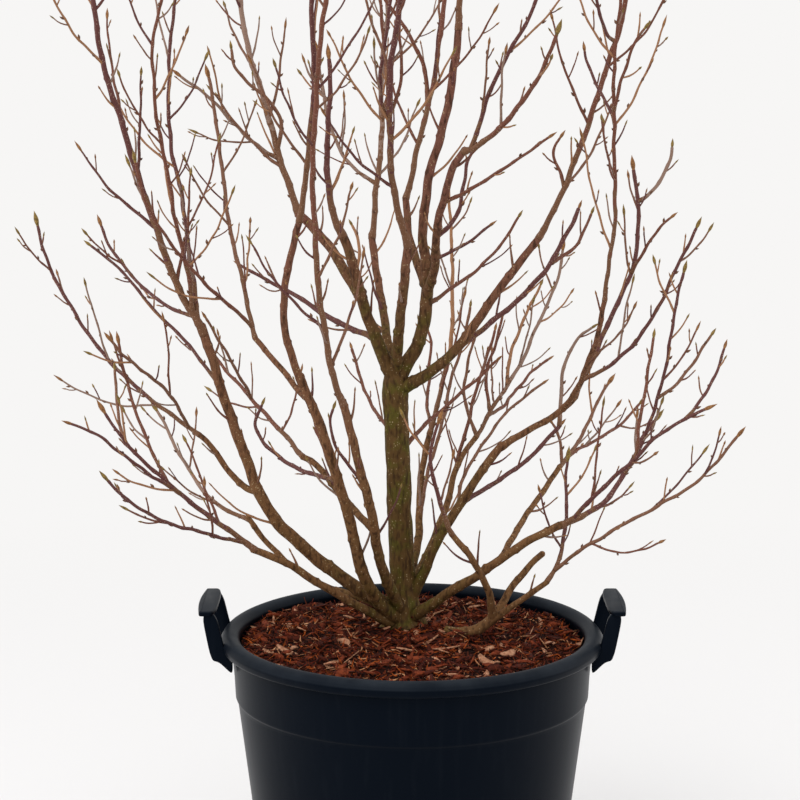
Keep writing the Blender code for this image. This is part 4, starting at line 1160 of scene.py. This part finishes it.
@dataclass
class Handle:
    """A strap handle: a flat grip bowed outwards on two leaning legs with a gusset back to the wall."""

    side: int
    length: float = 0.110
    grip_inner: float = 0.2275
    grip_outer: float = 0.2505
    grip_top: float = 0.4145
    grip_thickness: float = 0.0062
    bulge: float = 0.004
    leg_width: float = 0.0165
    leg_thickness: float = 0.0060
    leg_inset: float = 0.0030
    leg_lean: float = 0.0105
    foot_height: float = 0.3555
    foot_drop: float = 0.015
    round_steps: int = 5

    def rounded(self, outline: list[tuple[float, float]]) -> Array:
        """Cuts an outline's corners three times, each time at a fifth of both edges, for small even rounds.
        """
        points = np.array(outline)
        for _ in range(3):
            after = np.roll(points, -1, axis=0)
            points = np.stack([points * 0.82 + after * 0.18, points * 0.18 + after * 0.82], 1).reshape(-1, 2)
        return points

    def slab(self, outline: Array, thickness: float, rounding: float) -> tuple[Array, Array, list[list[int]]]:
        """A flat plate with rounded edges: the outline drawn in by rounding times (1 - cos) while the
        height goes by rounding times sin, on both faces.

        Args:
            outline: the plan, anticlockwise.
            thickness: the whole thickness.
            rounding: the edge's radius.

        Returns:
            Points as rows of plan and height, side quads and the two end faces.
        """
        edge = unit(np.roll(outline, -1, axis=0) - np.roll(outline, 1, axis=0))
        out = np.stack([edge[:, 1], -edge[:, 0]], axis=1)
        turn = np.linspace(0, math.pi / 2, self.round_steps)
        drawn = rounding * (1 - np.cos(turn))
        lift = thickness / 2 - rounding + rounding * np.sin(turn)
        drawn = np.concatenate([drawn[::-1], drawn])
        height = np.concatenate([-lift[::-1], lift])
        count = len(outline)
        rows = [
            np.hstack([outline - out * inset, np.full((count, 1), up)]) for inset, up in zip(drawn, height)
        ]
        ends = [list(range(count))[::-1], list(range(count * (len(rows) - 1), count * len(rows)))]
        return np.vstack(rows), grid_faces(len(rows), count), ends

    def leg_outline(self) -> list[tuple[float, float]]:
        """A leg seen from the front, anticlockwise: its foot runs back to the wall under the rim."""
        top = self.grip_top - self.grip_thickness / 2
        outer_top = self.grip_inner + self.leg_width
        outer_foot = outer_top - self.leg_lean
        return [
            (self.grip_inner, top),
            (self.grip_inner - self.leg_lean, self.foot_height + 0.010),
            (BAND_TOP_RADIUS - 0.004, self.foot_height + 0.004),
            (BAND_TOP_RADIUS - 0.004, self.foot_height - self.foot_drop),
            (BAND_TOP_RADIUS - 0.001, self.foot_height - self.foot_drop),
            (outer_foot - 0.010, self.foot_height - 0.003),
            (outer_foot, self.foot_height),
            (outer_top, top),
        ]

    def build(self, plastic: bpy.types.Material) -> None:
        """Builds the grip and both legs as one piece."""
        half = self.length / 2
        plan = [(self.grip_inner, -half), (self.grip_outer - self.bulge, -half)]
        bow = np.linspace(-0.9, 0.9, 7)
        plan += [(self.grip_outer - self.bulge * share**2, half * share) for share in bow]
        plan += [(self.grip_outer - self.bulge, half), (self.grip_inner, half)]
        points, faces, ends = self.slab(self.rounded(plan), self.grip_thickness, 0.0022)
        points[:, 2] += self.grip_top - self.grip_thickness / 2
        parts = [(points, faces.tolist() + ends)]
        for place in (-1, 1):
            leg, faces, ends = self.slab(self.rounded(self.leg_outline()), self.leg_thickness, 0.0014)
            along = place * (half - self.leg_inset - self.leg_thickness / 2)
            stood = np.stack([leg[:, 0], along - leg[:, 2], leg[:, 1]], axis=1)
            parts.append((stood, faces.tolist() + ends))
        rows, sides, size = [], [], 0
        for points, faces in parts:
            rows.append(points * (self.side, 1, 1))
            sides += [[corner + size for corner in face][:: self.side] for face in faces]
            size += len(points)
        name = "handle_right" if self.side > 0 else "handle_left"
        mesh = bpy.data.meshes.new(name + "_strap")
        mesh.from_pydata(np.vstack(rows), [], sides)
        mesh.shade_smooth()
        mesh.set_sharp_from_angle(angle=math.radians(40))
        mesh.materials.append(plastic)
        finished(name + "_strap", mesh, [name])


@dataclass
class Mulch:
    """The top of the pot: a low uneven mound under a mat of bark fibres and chips."""

    rings: int = 90
    steps: int = 240
    fibres: int = 8200
    lumps: tuple[tuple[float, float], ...] = ((0.0042, 0.045), (0.0036, 0.017), (0.0012, 0.006))
    chips: int = 720

    def height(self, across: Array, deep: Array) -> Array:
        """The mound's height: flat in the middle, lower at the edge, with lumps of 45, 17 and 6 mm."""
        radius = np.hypot(across, deep)
        fall = np.clip((radius - MOUND_FLAT_RADIUS) / (RIM_INNER_RADIUS - MOUND_FLAT_RADIUS), 0, 1)
        place = np.stack([across, deep, np.zeros_like(across)], axis=1)
        lumps = sum(
            rise * value_noise(place, cell, seed) for seed, (rise, cell) in enumerate(self.lumps, 1)
        )
        near_trunk = np.exp(-(((across - TRUNK_X) ** 2 + (deep - TRUNK_Y) ** 2) / 0.03**2))
        return MOUND_TOP - (MOUND_TOP - MOUND_EDGE) * fall**1.5 + lumps - 0.002 + 0.003 * near_trunk

    def mound(self) -> Surface:
        """The mound and the filled pot under it: polar rings lifted by the height, closed under the rim."""
        radii = np.linspace(0, 1, self.rings) ** 0.8 * (RIM_INNER_RADIUS - 0.0006)
        turn = 2 * math.pi * np.arange(self.steps) / self.steps
        across = (radii[1:, None] * np.cos(turn)).ravel()
        deep = (radii[1:, None] * np.sin(turn)).ravel()
        wobble = self.height(across, deep).reshape(-1, self.steps)
        top = np.stack([radii[1:], np.zeros(self.rings - 1)], axis=1)
        low = np.array([(0.1990, 0.350), (0.160, FLOOR + 0.001)])
        profile = np.vstack([(0, MOUND_TOP), top, low, (0, FLOOR + 0.001)])
        wobble = np.vstack([wobble, np.zeros((2, self.steps))])
        return revolve(profile[::-1], self.steps, wobble[::-1])

    def scatter(self, draw: np.random.Generator, count: int) -> tuple[Array, Array]:
        """Even random places on the mound's disc."""
        radius = np.sqrt(draw.random(count)) * (RIM_INNER_RADIUS - 0.005)
        turn = draw.uniform(0, 2 * math.pi, count)
        return radius * np.cos(turn), radius * np.sin(turn)

    def slivers(
        self,
        seed: int,
        count: int,
        length: tuple[float, float],
        width: tuple[float, float],
        flat: float,
        tilt: float,
    ) -> Surface:
        """Many slivers of bark at once: each a bent spindle of five rings with four corners, whose width
        goes by the sine of the share along it, laid on the mound with a seeded heading, tilt and curl.

        Args:
            seed: the draws' seed.
            count: how many.
            length: shortest and longest.
            width: narrowest and widest.
            flat: thickness as a share of the width.
            tilt: the spread of the tilt in radians.

        Returns:
            Points, quads and no triangles.
        """
        draw = np.random.default_rng(seed)
        across, deep = self.scatter(draw, count)
        size = draw.uniform(*length, count) * draw.uniform(0.6, 1.0, count)
        broad = draw.uniform(*width, count)
        heading = draw.uniform(0, 2 * math.pi, count)
        pitch = draw.normal(0, tilt, count)
        roll = draw.uniform(-0.9, 0.9, count)
        curl = draw.normal(0, 0.16, count)
        rings = 5
        share = np.linspace(-0.5, 0.5, rings)
        swell = 0.25 + 0.75 * np.cos(math.pi * share * 0.92) ** 0.7
        ragged = draw.uniform(0.75, 1.2, (count, rings, 4))
        corner = np.array([(-1, -1), (1, -1), (1, 1), (-1, 1)]) * 0.5
        along = share[None, :, None] * size[:, None, None] * np.ones((1, 1, 4))
        side = corner[None, None, :, 0] * broad[:, None, None] * swell[None, :, None] * ragged
        thick = corner[None, None, :, 1] * broad[:, None, None] * flat * swell[None, :, None] * ragged
        side = side + curl[:, None, None] * size[:, None, None] * (4 * share[None, :, None] ** 2 - 0.3)
        lift = thick + 0.10 * size[:, None, None] * curl[:, None, None] * share[None, :, None] ** 2 * 4
        turned = side * np.cos(roll)[:, None, None] - lift * np.sin(roll)[:, None, None]
        raised = side * np.sin(roll)[:, None, None] + lift * np.cos(roll)[:, None, None]
        ahead = along * np.cos(pitch)[:, None, None] - raised * np.sin(pitch)[:, None, None]
        up = along * np.sin(pitch)[:, None, None] + raised * np.cos(pitch)[:, None, None]
        cos, sin = np.cos(heading)[:, None, None], np.sin(heading)[:, None, None]
        x = across[:, None, None] + ahead * cos - turned * sin
        y = deep[:, None, None] + ahead * sin + turned * cos
        rest = self.height(across, deep) + draw.uniform(0.0002, 0.0032, count)
        z = rest[:, None, None] + up
        limit = (RIM_INNER_RADIUS - 0.0010) / np.maximum(np.hypot(x, y), 1e-6)
        held = np.minimum(limit, 1)
        points = np.stack([x * held, y * held, z], -1).reshape(-1, 3)
        faces = grid_faces(rings, 4)
        caps = np.array([(3, 2, 1, 0), (4 * rings - 4, 4 * rings - 3, 4 * rings - 2, 4 * rings - 1)])
        single = np.vstack([faces, caps])
        quads = (single[None] + (np.arange(count) * rings * 4)[:, None, None]).reshape(-1, 4)
        return points, quads, np.empty((0, 3), int)

    def build(self) -> None:
        """Builds the mound, the fibres in five colours and the chips in three."""
        stock = Stock()
        stock.add(*self.mound())
        stock.piece("mulch_mound", [ShreddedBark("ground", "#31130b", "#0c0504").make()], "mulch", ["mulch"])
        sorts = (
            ("dark", "#2c110a", "#120705", 0.30),
            ("red", "#63210f", "#371107", 0.33),
            ("brown", "#74371c", "#451f12", 0.19),
            ("orange", "#a8521f", "#743310", 0.12),
            ("tan", "#c08e68", "#8d5c3d", 0.06),
        )
        for number, (name, colour, deep, part) in enumerate(sorts):
            material = ShreddedBark("fibre_" + name, colour, deep).make()
            stock = Stock()
            count = int(self.fibres * part)
            stock.add(*self.slivers(100 + number, count, (0.006, 0.024), (0.0006, 0.0019), 0.55, 0.42))
            stock.piece("mulch_fibre_" + name, [material], "mulch", [])
        chips = (
            ("brown", "#4c1d10", "#240c06", 0.48),
            ("red", "#7d3a20", "#521f10", 0.38),
            ("tan", "#b98a6c", "#8a5c44", 0.14),
        )
        for number, (name, colour, deep, part) in enumerate(chips):
            material = ShreddedBark("chip_" + name, colour, deep).make()
            stock = Stock()
            count = int(self.chips * part)
            stock.add(*self.slivers(200 + number, count, (0.014, 0.042), (0.0035, 0.0100), 0.28, 0.24))
            stock.piece("mulch_chip_" + name, [material], "mulch", [])


@dataclass
class Bark:
    """Relief of old wood: ridges along the limb, lumps, ring scars and knots."""

    ridge: float = 0.0007
    lump: float = 0.0006

    def relief(self, strand: Strand, radii: Array, sides: int) -> Array:
        """Offsets for each ring and side: noise stretched along the limb for ridges, rounder noise for
        lumps, and narrow swellings every 45 mm or so where old buds and bud scales left their rings.

        Args:
            strand: the limb.
            radii: its radius at each ring.
            sides: how many points go round.

        Returns:
            One row for each ring.
        """
        turn = 2 * math.pi * np.arange(sides) / sides
        round_x = radii[:, None] * np.cos(turn)
        round_y = radii[:, None] * np.sin(turn)
        length = np.repeat(strand.places[:, None], sides, axis=1)
        seed = seed_of(strand.name) % 9973
        flat = np.stack([round_x, round_y, length * 0.22], -1).reshape(-1, 3)
        even = np.stack([round_x, round_y, length * 0.8], -1).reshape(-1, 3)
        share = np.clip(radii / TRUNK_RADIUS, 0.25, 1.3)[:, None]
        ridges = value_noise(flat, 0.0034, seed) + 0.6 * value_noise(flat, 0.0017, seed + 1)
        lumps = value_noise(even, 0.011, seed + 2)
        made = self.ridge * ridges.reshape(len(radii), sides) * share
        made = made + self.lump * lumps.reshape(len(radii), sides) * share
        if strand.stage is Stage.TRUNK:
            return made
        draw = np.random.default_rng(seed)
        scars = np.arange(0.02, strand.places[-1], 0.045) + draw.uniform(-0.012, 0.012)
        for place in scars:
            near = np.exp(-(((strand.places - place) / 0.0022) ** 2))
            knob = 0.5 + 0.5 * np.cos(turn - draw.uniform(0, 2 * math.pi))
            swelling = (0.10 + 0.22 * knob**3)[None] * radii[:, None]
            made = made + near[:, None] * swelling * draw.uniform(0.4, 1.0)
        return made


@dataclass
class Wood:
    """All the wood: the trunk and boughs with their relief, and the shoots, each zone of the crown in its
    piece.
    """

    shrub: Shrub
    bark: Bark = field(default_factory=Bark)

    def zone(self, strand: Strand) -> str:
        """Left, middle or right by where the limb's mass or bough ends."""
        rows = {limb.name: limb for limb in (*BOUGHS, *LEADERS, SUCKER_FOOT)}
        across = rows[strand.home].tip[0]
        return "left" if across < -100 else "right" if across > 100 else "middle"

    def flared(self, strand: Strand) -> Array:
        """Radii with a collar where the limb leaves its parent: up to a third thicker over the parent's
        radius.
        """
        radii = strand.girth()
        if strand.parent is None or strand.stage.value > Stage.ARM.value:
            return radii
        parent_radii = strand.parent.radii
        parent = float(np.interp(strand.share, np.linspace(0, 1, len(parent_radii)), parent_radii))
        collar = np.exp(-(np.maximum(strand.places - parent, 0) / (0.9 * parent + 0.002)))
        return radii * (1 + 0.30 * collar)

    def build_old_wood(self) -> None:
        """The trunk, the sucker and the boughs, each zone as one piece that stands for its nodes."""
        material = OldBark().make()
        trunk = self.shrub.limbs["trunk"]
        radii = self.trunk_radii(trunk)
        stock = Stock()
        sides = 84
        relief = self.bark.relief(trunk, radii, sides) + self.buttress(trunk, sides)
        stock.add(*tube(trunk.path, radii, sides, relief))
        stock.piece("trunk_bark", [material], "bark", ["trunk"])
        for zone in ("left", "middle", "right"):
            stock = Stock()
            nodes = []
            for strand in self.shrub.strands:
                if strand.stage is not Stage.BOUGH or self.zone(strand) != zone:
                    continue
                radii = self.flared(strand)
                sides = 24 if radii[0] > 0.005 else 18
                stock.add(*tube(strand.path, radii, sides, self.bark.relief(strand, radii, sides)))
                nodes.append(strand.name if strand.name == "sucker_foot" else "bough_" + strand.name)
            stock.piece("boughs_" + zone, [material], "bark", nodes)

    def trunk_radii(self, trunk: Strand) -> Array:
        """The trunk's radii by the model's own formula, at every ring."""
        height = trunk.path[:, 2]
        share = (height - height[0]) / (height[-1] - height[0])
        radii = TRUNK_RADIUS + FLARE_WIDTH * np.exp(-(height - height[0]) / FLARE_HEIGHT)
        radii += FORK_SWELL * np.exp(-(((share - 0.92) / 0.06) ** 2))
        return radii * (1 - 0.28 * np.clip((share - 0.95) / 0.05, 0, 1) ** 2)

    def buttress(self, trunk: Strand, sides: int) -> Array:
        """Five uneven root swellings that fade out up the first 60 mm."""
        turn = 2 * math.pi * np.arange(sides) / sides
        fade = np.exp(-trunk.places / 0.028)[:, None]
        return fade * (0.0032 * np.cos(5 * turn + 0.6) + 0.0022 * np.cos(2 * turn - 1.1))[None]

    def knobbly(self, strand: Strand, radii: Array, sides: int) -> Array:
        """Relief of young wood: swellings at the nodes every 22 to 30 mm and a fine unevenness."""
        turn = 2 * math.pi * np.arange(sides) / sides
        seed = seed_of(strand.name) % 9973
        draw = np.random.default_rng(seed)
        made = np.zeros((len(radii), sides))
        place = draw.uniform(0.006, 0.02)
        while place < strand.places[-1]:
            near = np.exp(-(((strand.places - place) / 0.0028) ** 2))[:, None]
            knob = 0.35 + 0.65 * (0.5 + 0.5 * np.cos(turn - draw.uniform(0, 2 * math.pi)))
            made += near * knob[None] * radii[:, None] * 0.24
            place += draw.uniform(0.020, 0.034)
        return made

    def ageing(self, strand: Strand, skin: Surface, tint: int) -> Array:
        """A slot for each quad: a leader's first quarter and an arm's first tenth keep the older wood's
        colour, and noise frays the border.
        """
        points, quads, _ = skin
        rows = np.repeat(np.linspace(0, 1, len(strand.path)), len(quads) // len(strand.path))
        rows = np.append(rows, np.ones(len(quads) - len(rows)))
        older = {Stage.LEADER: 0.26, Stage.ARM: 0.10}.get(strand.stage, -1.0)
        frayed = rows + 0.14 * value_noise(points[quads[:, 0]], 0.004, 5)
        return np.where(frayed < older, 5, tint)

    def build_shoots(self) -> None:
        """Leaders, arms, twigs and fine twigs: for each zone one piece of leaders and arms and one of twigs,
        each with every colour of bark.
        """
        tints = {
            "plum": YoungBark("plum", "#5c3733", lenticels=0.55).make(),
            "russet": YoungBark("russet", "#6b4132", lenticels=0.5).make(),
            "umber": YoungBark("umber", "#74503d", lenticels=0.45).make(),
            "fawn": YoungBark("fawn", "#93694a", lenticels=0.3).make(),
            "ash": YoungBark("ash", "#846a5c", lenticels=0.3).make(),
            "hazel": YoungBark("hazel", "#6b4a34", lenticels=0.5).make(),
        }
        names = list(tints)
        for zone in ("left", "middle", "right"):
            for kind, stages in (("shoots", (Stage.LEADER, Stage.ARM)), ("twigs", (Stage.TWIG, Stage.FINE))):
                stock = Stock()
                nodes = []
                for strand in self.shrub.strands:
                    if strand.stage not in stages or self.zone(strand) != zone:
                        continue
                    if strand.stage is Stage.LEADER:
                        nodes.append("twigs_" + strand.home)
                    draw = random.Random("tint of " + strand.name)
                    odds = (6, 4, 2, 0, 0) if kind == "shoots" else (2, 3, 3, 4, 1)
                    if strand.path[len(strand.path) // 2, 1] > 0.10:
                        odds = (1, 2, 4, 2, 5)
                    tint = draw.choices(range(5), weights=odds)[0]
                    radii = self.flared(strand)
                    sides = 10 if strand.stage is Stage.LEADER else 8 if strand.stage is Stage.ARM else 6
                    skin = tube(strand.path, radii, sides, self.knobbly(strand, radii, sides))
                    stock.add(*skin, self.ageing(strand, skin, tint))
                materials = [tints[name] for name in names]
                stock.piece(f"{kind}_{zone}", materials, "twigs", nodes)


@dataclass
class Buds:
    """End buds and side buds, each a pointed spindle with two overlapping scales."""

    shrub: Shrub
    rings: int = 9
    sides: int = 8
    slimness: float = 0.74

    def template(self) -> Array:
        """A bud of length and radius one: the radius goes as the sine of pi times share to the power 0.72,
        drawn to a point, with two scales as a low spiral wave round it.
        """
        share = np.linspace(0, 1, self.rings)
        swell = np.sin(math.pi * share**0.72) * (1 - 0.25 * share)
        swell[0] = 0.52
        swell[1] = 0.70
        swell[-1] = 0.02
        turn = 2 * math.pi * np.arange(self.sides) / self.sides
        wave = 1 + 0.09 * np.cos(2 * turn[None] - 5.0 * share[:, None])
        return np.stack(
            [
                swell[:, None] * wave * np.cos(turn),
                swell[:, None] * wave * np.sin(turn),
                np.repeat(share[:, None], self.sides, axis=1),
            ],
            axis=-1,
        )

    def set_out(self, roots: Array, axes: Array, lengths: Array, radii: Array) -> Surface:
        """All the buds of one list at once: the template turned to each axis, sized and put at each root."""
        shape = self.template().reshape(-1, 3)
        guess = np.where(np.abs(axes[:, :1]) < 0.8, np.array([[1.0, 0, 0]]), np.array([[0, 1.0, 0]]))
        first = unit(np.cross(axes, guess))
        second = np.cross(axes, first)
        points = (
            roots[:, None]
            + shape[None, :, :1] * first[:, None] * radii[:, None, None]
            + shape[None, :, 1:2] * second[:, None] * radii[:, None, None]
            + shape[None, :, 2:] * axes[:, None] * lengths[:, None, None]
        )
        faces = grid_faces(self.rings, self.sides)
        quads = (faces[None] + (np.arange(len(roots)) * len(shape))[:, None, None]).reshape(-1, 4)
        last = np.arange((self.rings - 1) * self.sides, self.rings * self.sides)
        cap = np.stack([last[:-2], last[1:-1], np.full(self.sides - 2, last[-1])], axis=1)
        tris = (cap[None] + (np.arange(len(roots)) * len(shape))[:, None, None]).reshape(-1, 3)
        return points.reshape(-1, 3), quads, tris

    def end_buds(self) -> list[BudRow]:
        """Every limb's end bud: root, axis, length and radius."""
        rows = []
        for strand in self.shrub.strands:
            if strand.bud:
                axis = unit(strand.path[-1] - strand.path[-3])
                length, radius = strand.bud
                rows.append((strand.path[-1] - axis * 0.0008, axis, length * 0.95, radius * self.slimness))
        return rows

    def side_buds(self) -> list[BudRow]:
        """Small buds along the young wood, in turn round the shoot, pressed close to it and pointing up it.
        """
        rows = []
        spacing = {Stage.LEADER: 0.042, Stage.ARM: 0.036, Stage.TWIG: 0.030}
        for strand in self.shrub.strands:
            if strand.stage not in spacing:
                continue
            draw = random.Random("buds of " + strand.name)
            ahead, first, second = rings_of(strand.path)
            radii = strand.girth()
            place = draw.uniform(0.012, 0.03)
            turn = draw.uniform(0, 2 * math.pi)
            while place < strand.places[-1] - 0.008:
                index = int(np.searchsorted(strand.places, place))
                turn += GOLDEN_TURN
                out = first[index] * math.cos(turn) + second[index] * math.sin(turn)
                lean = math.radians(draw.uniform(22, 40))
                axis = ahead[index] * math.cos(lean) + out * math.sin(lean)
                length = draw.uniform(0.0035, 0.0068)
                rows.append((strand.path[index] + out * radii[index] * 0.75, axis, length, length * 0.26))
                place += spacing[strand.stage] * draw.uniform(0.7, 1.4)
        return rows

    def build(self) -> None:
        """Builds the end buds in tan and olive and the side buds in brown."""
        rows = self.end_buds()
        shares = (("tan", "#94683e", "#694426"), ("olive", "#8a7038", "#5f4b25"))
        for number, (name, colour, deep) in enumerate(shares):
            chosen = rows[number::2]
            self.put("buds_" + name, chosen, BudScale(name, colour, deep).make())
        self.put("buds_side", self.side_buds(), BudScale("brown", "#76533c", "#4f3426").make())

    def put(self, name: str, rows: list[BudRow], material: bpy.types.Material) -> None:
        """Makes one piece of a list of buds."""
        roots, axes, lengths, radii = (np.array(part) for part in zip(*rows))
        stock = Stock()
        stock.add(*self.set_out(roots, axes, lengths, radii))
        stock.piece(name, [material], "twigs", [])


@dataclass(frozen=True)
class Studio:
    """The camera, a pale floor and soft light."""

    camera_place: tuple[float, float, float] = (-0.01417, -2.5, 1.075)
    camera_pitch: float = 9.58
    focal_share: float = 2185 / 800
    sensor: float = 36.0
    white: str = "#f7f6f5"

    def build(self) -> None:
        """Sets the camera, the world, the floor and the lights."""
        scene = bpy.context.scene
        scene.view_settings.view_transform = "Standard"
        lens = bpy.data.cameras.new("camera")
        lens.sensor_width = self.sensor
        lens.lens = self.focal_share * self.sensor
        lens.clip_end = 100
        camera = bpy.data.objects.new("camera", lens)
        camera.location = self.camera_place
        camera.rotation_euler = (math.radians(90 - self.camera_pitch), 0, 0)
        scene.collection.objects.link(camera)
        scene.camera = camera
        world = bpy.data.worlds.new("studio")
        world.use_nodes = True
        backdrop = world.node_tree.nodes["Background"]
        backdrop.inputs["Color"].default_value = linear(self.white)
        backdrop.inputs["Strength"].default_value = 1.0
        scene.world = world
        self.floor()
        self.sun("key_light", (38, 0, -35), 1.1, 50)
        self.softbox("left_light", (-2.2, -0.4, 1.3), (0, 0, 0.5), (0.6, 2.0), 14)
        self.softbox("right_light", (2.2, 0.2, 1.3), (0, 0, 0.5), (0.6, 2.0), 11)

    def floor(self) -> None:
        """A wide plain sheet of pale paper under the pot, which takes on the backdrop's brightness farther
        away.
        """
        reach = 60.0
        corners = np.array([(-reach, -reach), (reach, -reach), (reach, reach), (-reach, reach)])
        points = np.hstack([corners, np.full((4, 1), -0.0005)])
        mesh = bpy.data.meshes.new("floor")
        mesh.from_pydata(points, [], [[0, 1, 2, 3]])
        material, shader = new_material("matt_paper", 0.9, 0.1)
        shader.inputs["Base Color"].default_value = (0.715, 0.712, 0.715, 1)
        tree = material.node_tree
        place = add_node(tree, "ShaderNodeTexCoord").outputs["Object"]
        away = add_node(tree, "ShaderNodeVectorMath", {0: place}, operation="LENGTH").outputs["Value"]
        fade = add_node(
            tree, "ShaderNodeMapRange", {"Value": away, "From Min": 0.6, "From Max": 2.4}
        ).outputs[0]
        glow = add_node(tree, "ShaderNodeEmission", {"Color": linear(self.white)}).outputs[0]
        both = add_node(tree, "ShaderNodeMixShader", {0: fade, 1: shader.outputs[0], 2: glow}).outputs[0]
        tree.links.new(both, tree.nodes["Material Output"].inputs["Surface"])
        mesh.materials.append(material)
        sheet = bpy.data.objects.new("floor", mesh)
        bpy.context.scene.collection.objects.link(sheet)

    def sun(self, name: str, turn: tuple[float, float, float], strength: float, spread: float) -> None:
        """A broad soft light from one side, the same all over."""
        light = bpy.data.lights.new(name, "SUN")
        light.energy = strength
        light.angle = math.radians(spread)
        item = bpy.data.objects.new(name, light)
        item.rotation_euler = [math.radians(part) for part in turn]
        bpy.context.scene.collection.objects.link(item)

    def softbox(
        self,
        name: str,
        place: tuple[float, float, float],
        target: tuple[float, float, float],
        size: tuple[float, float],
        power: float,
    ) -> None:
        """A tall soft light that faces a target."""
        light = bpy.data.lights.new(name, "AREA")
        light.shape = "RECTANGLE"
        light.size, light.size_y = size
        light.energy = power
        item = bpy.data.objects.new(name, light)
        back = unit(np.array(place) - np.array(target))
        right = unit(np.cross((0, 0, 1), back))
        turn = np.stack([right, np.cross(back, right), back], axis=1)
        item.matrix_world = Matrix.Translation(place) @ Matrix(turn.tolist()).to_4x4()
        bpy.context.scene.collection.objects.link(item)


def main() -> None:
    """Builds the studio, the pot, the mulch and the shrub."""
    logging.basicConfig(level=logging.INFO)
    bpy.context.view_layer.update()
    Studio().build()
    plastic = MouldedPolypropylene().make()
    Pot().build(plastic)
    for side in (-1, 1):
        Handle(side).build(plastic)
    Mulch().build()
    shrub = Shrub()
    wood = Wood(shrub)
    wood.build_old_wood()
    wood.build_shoots()
    Buds(shrub).build()


if __name__ == "__main__":
    main()
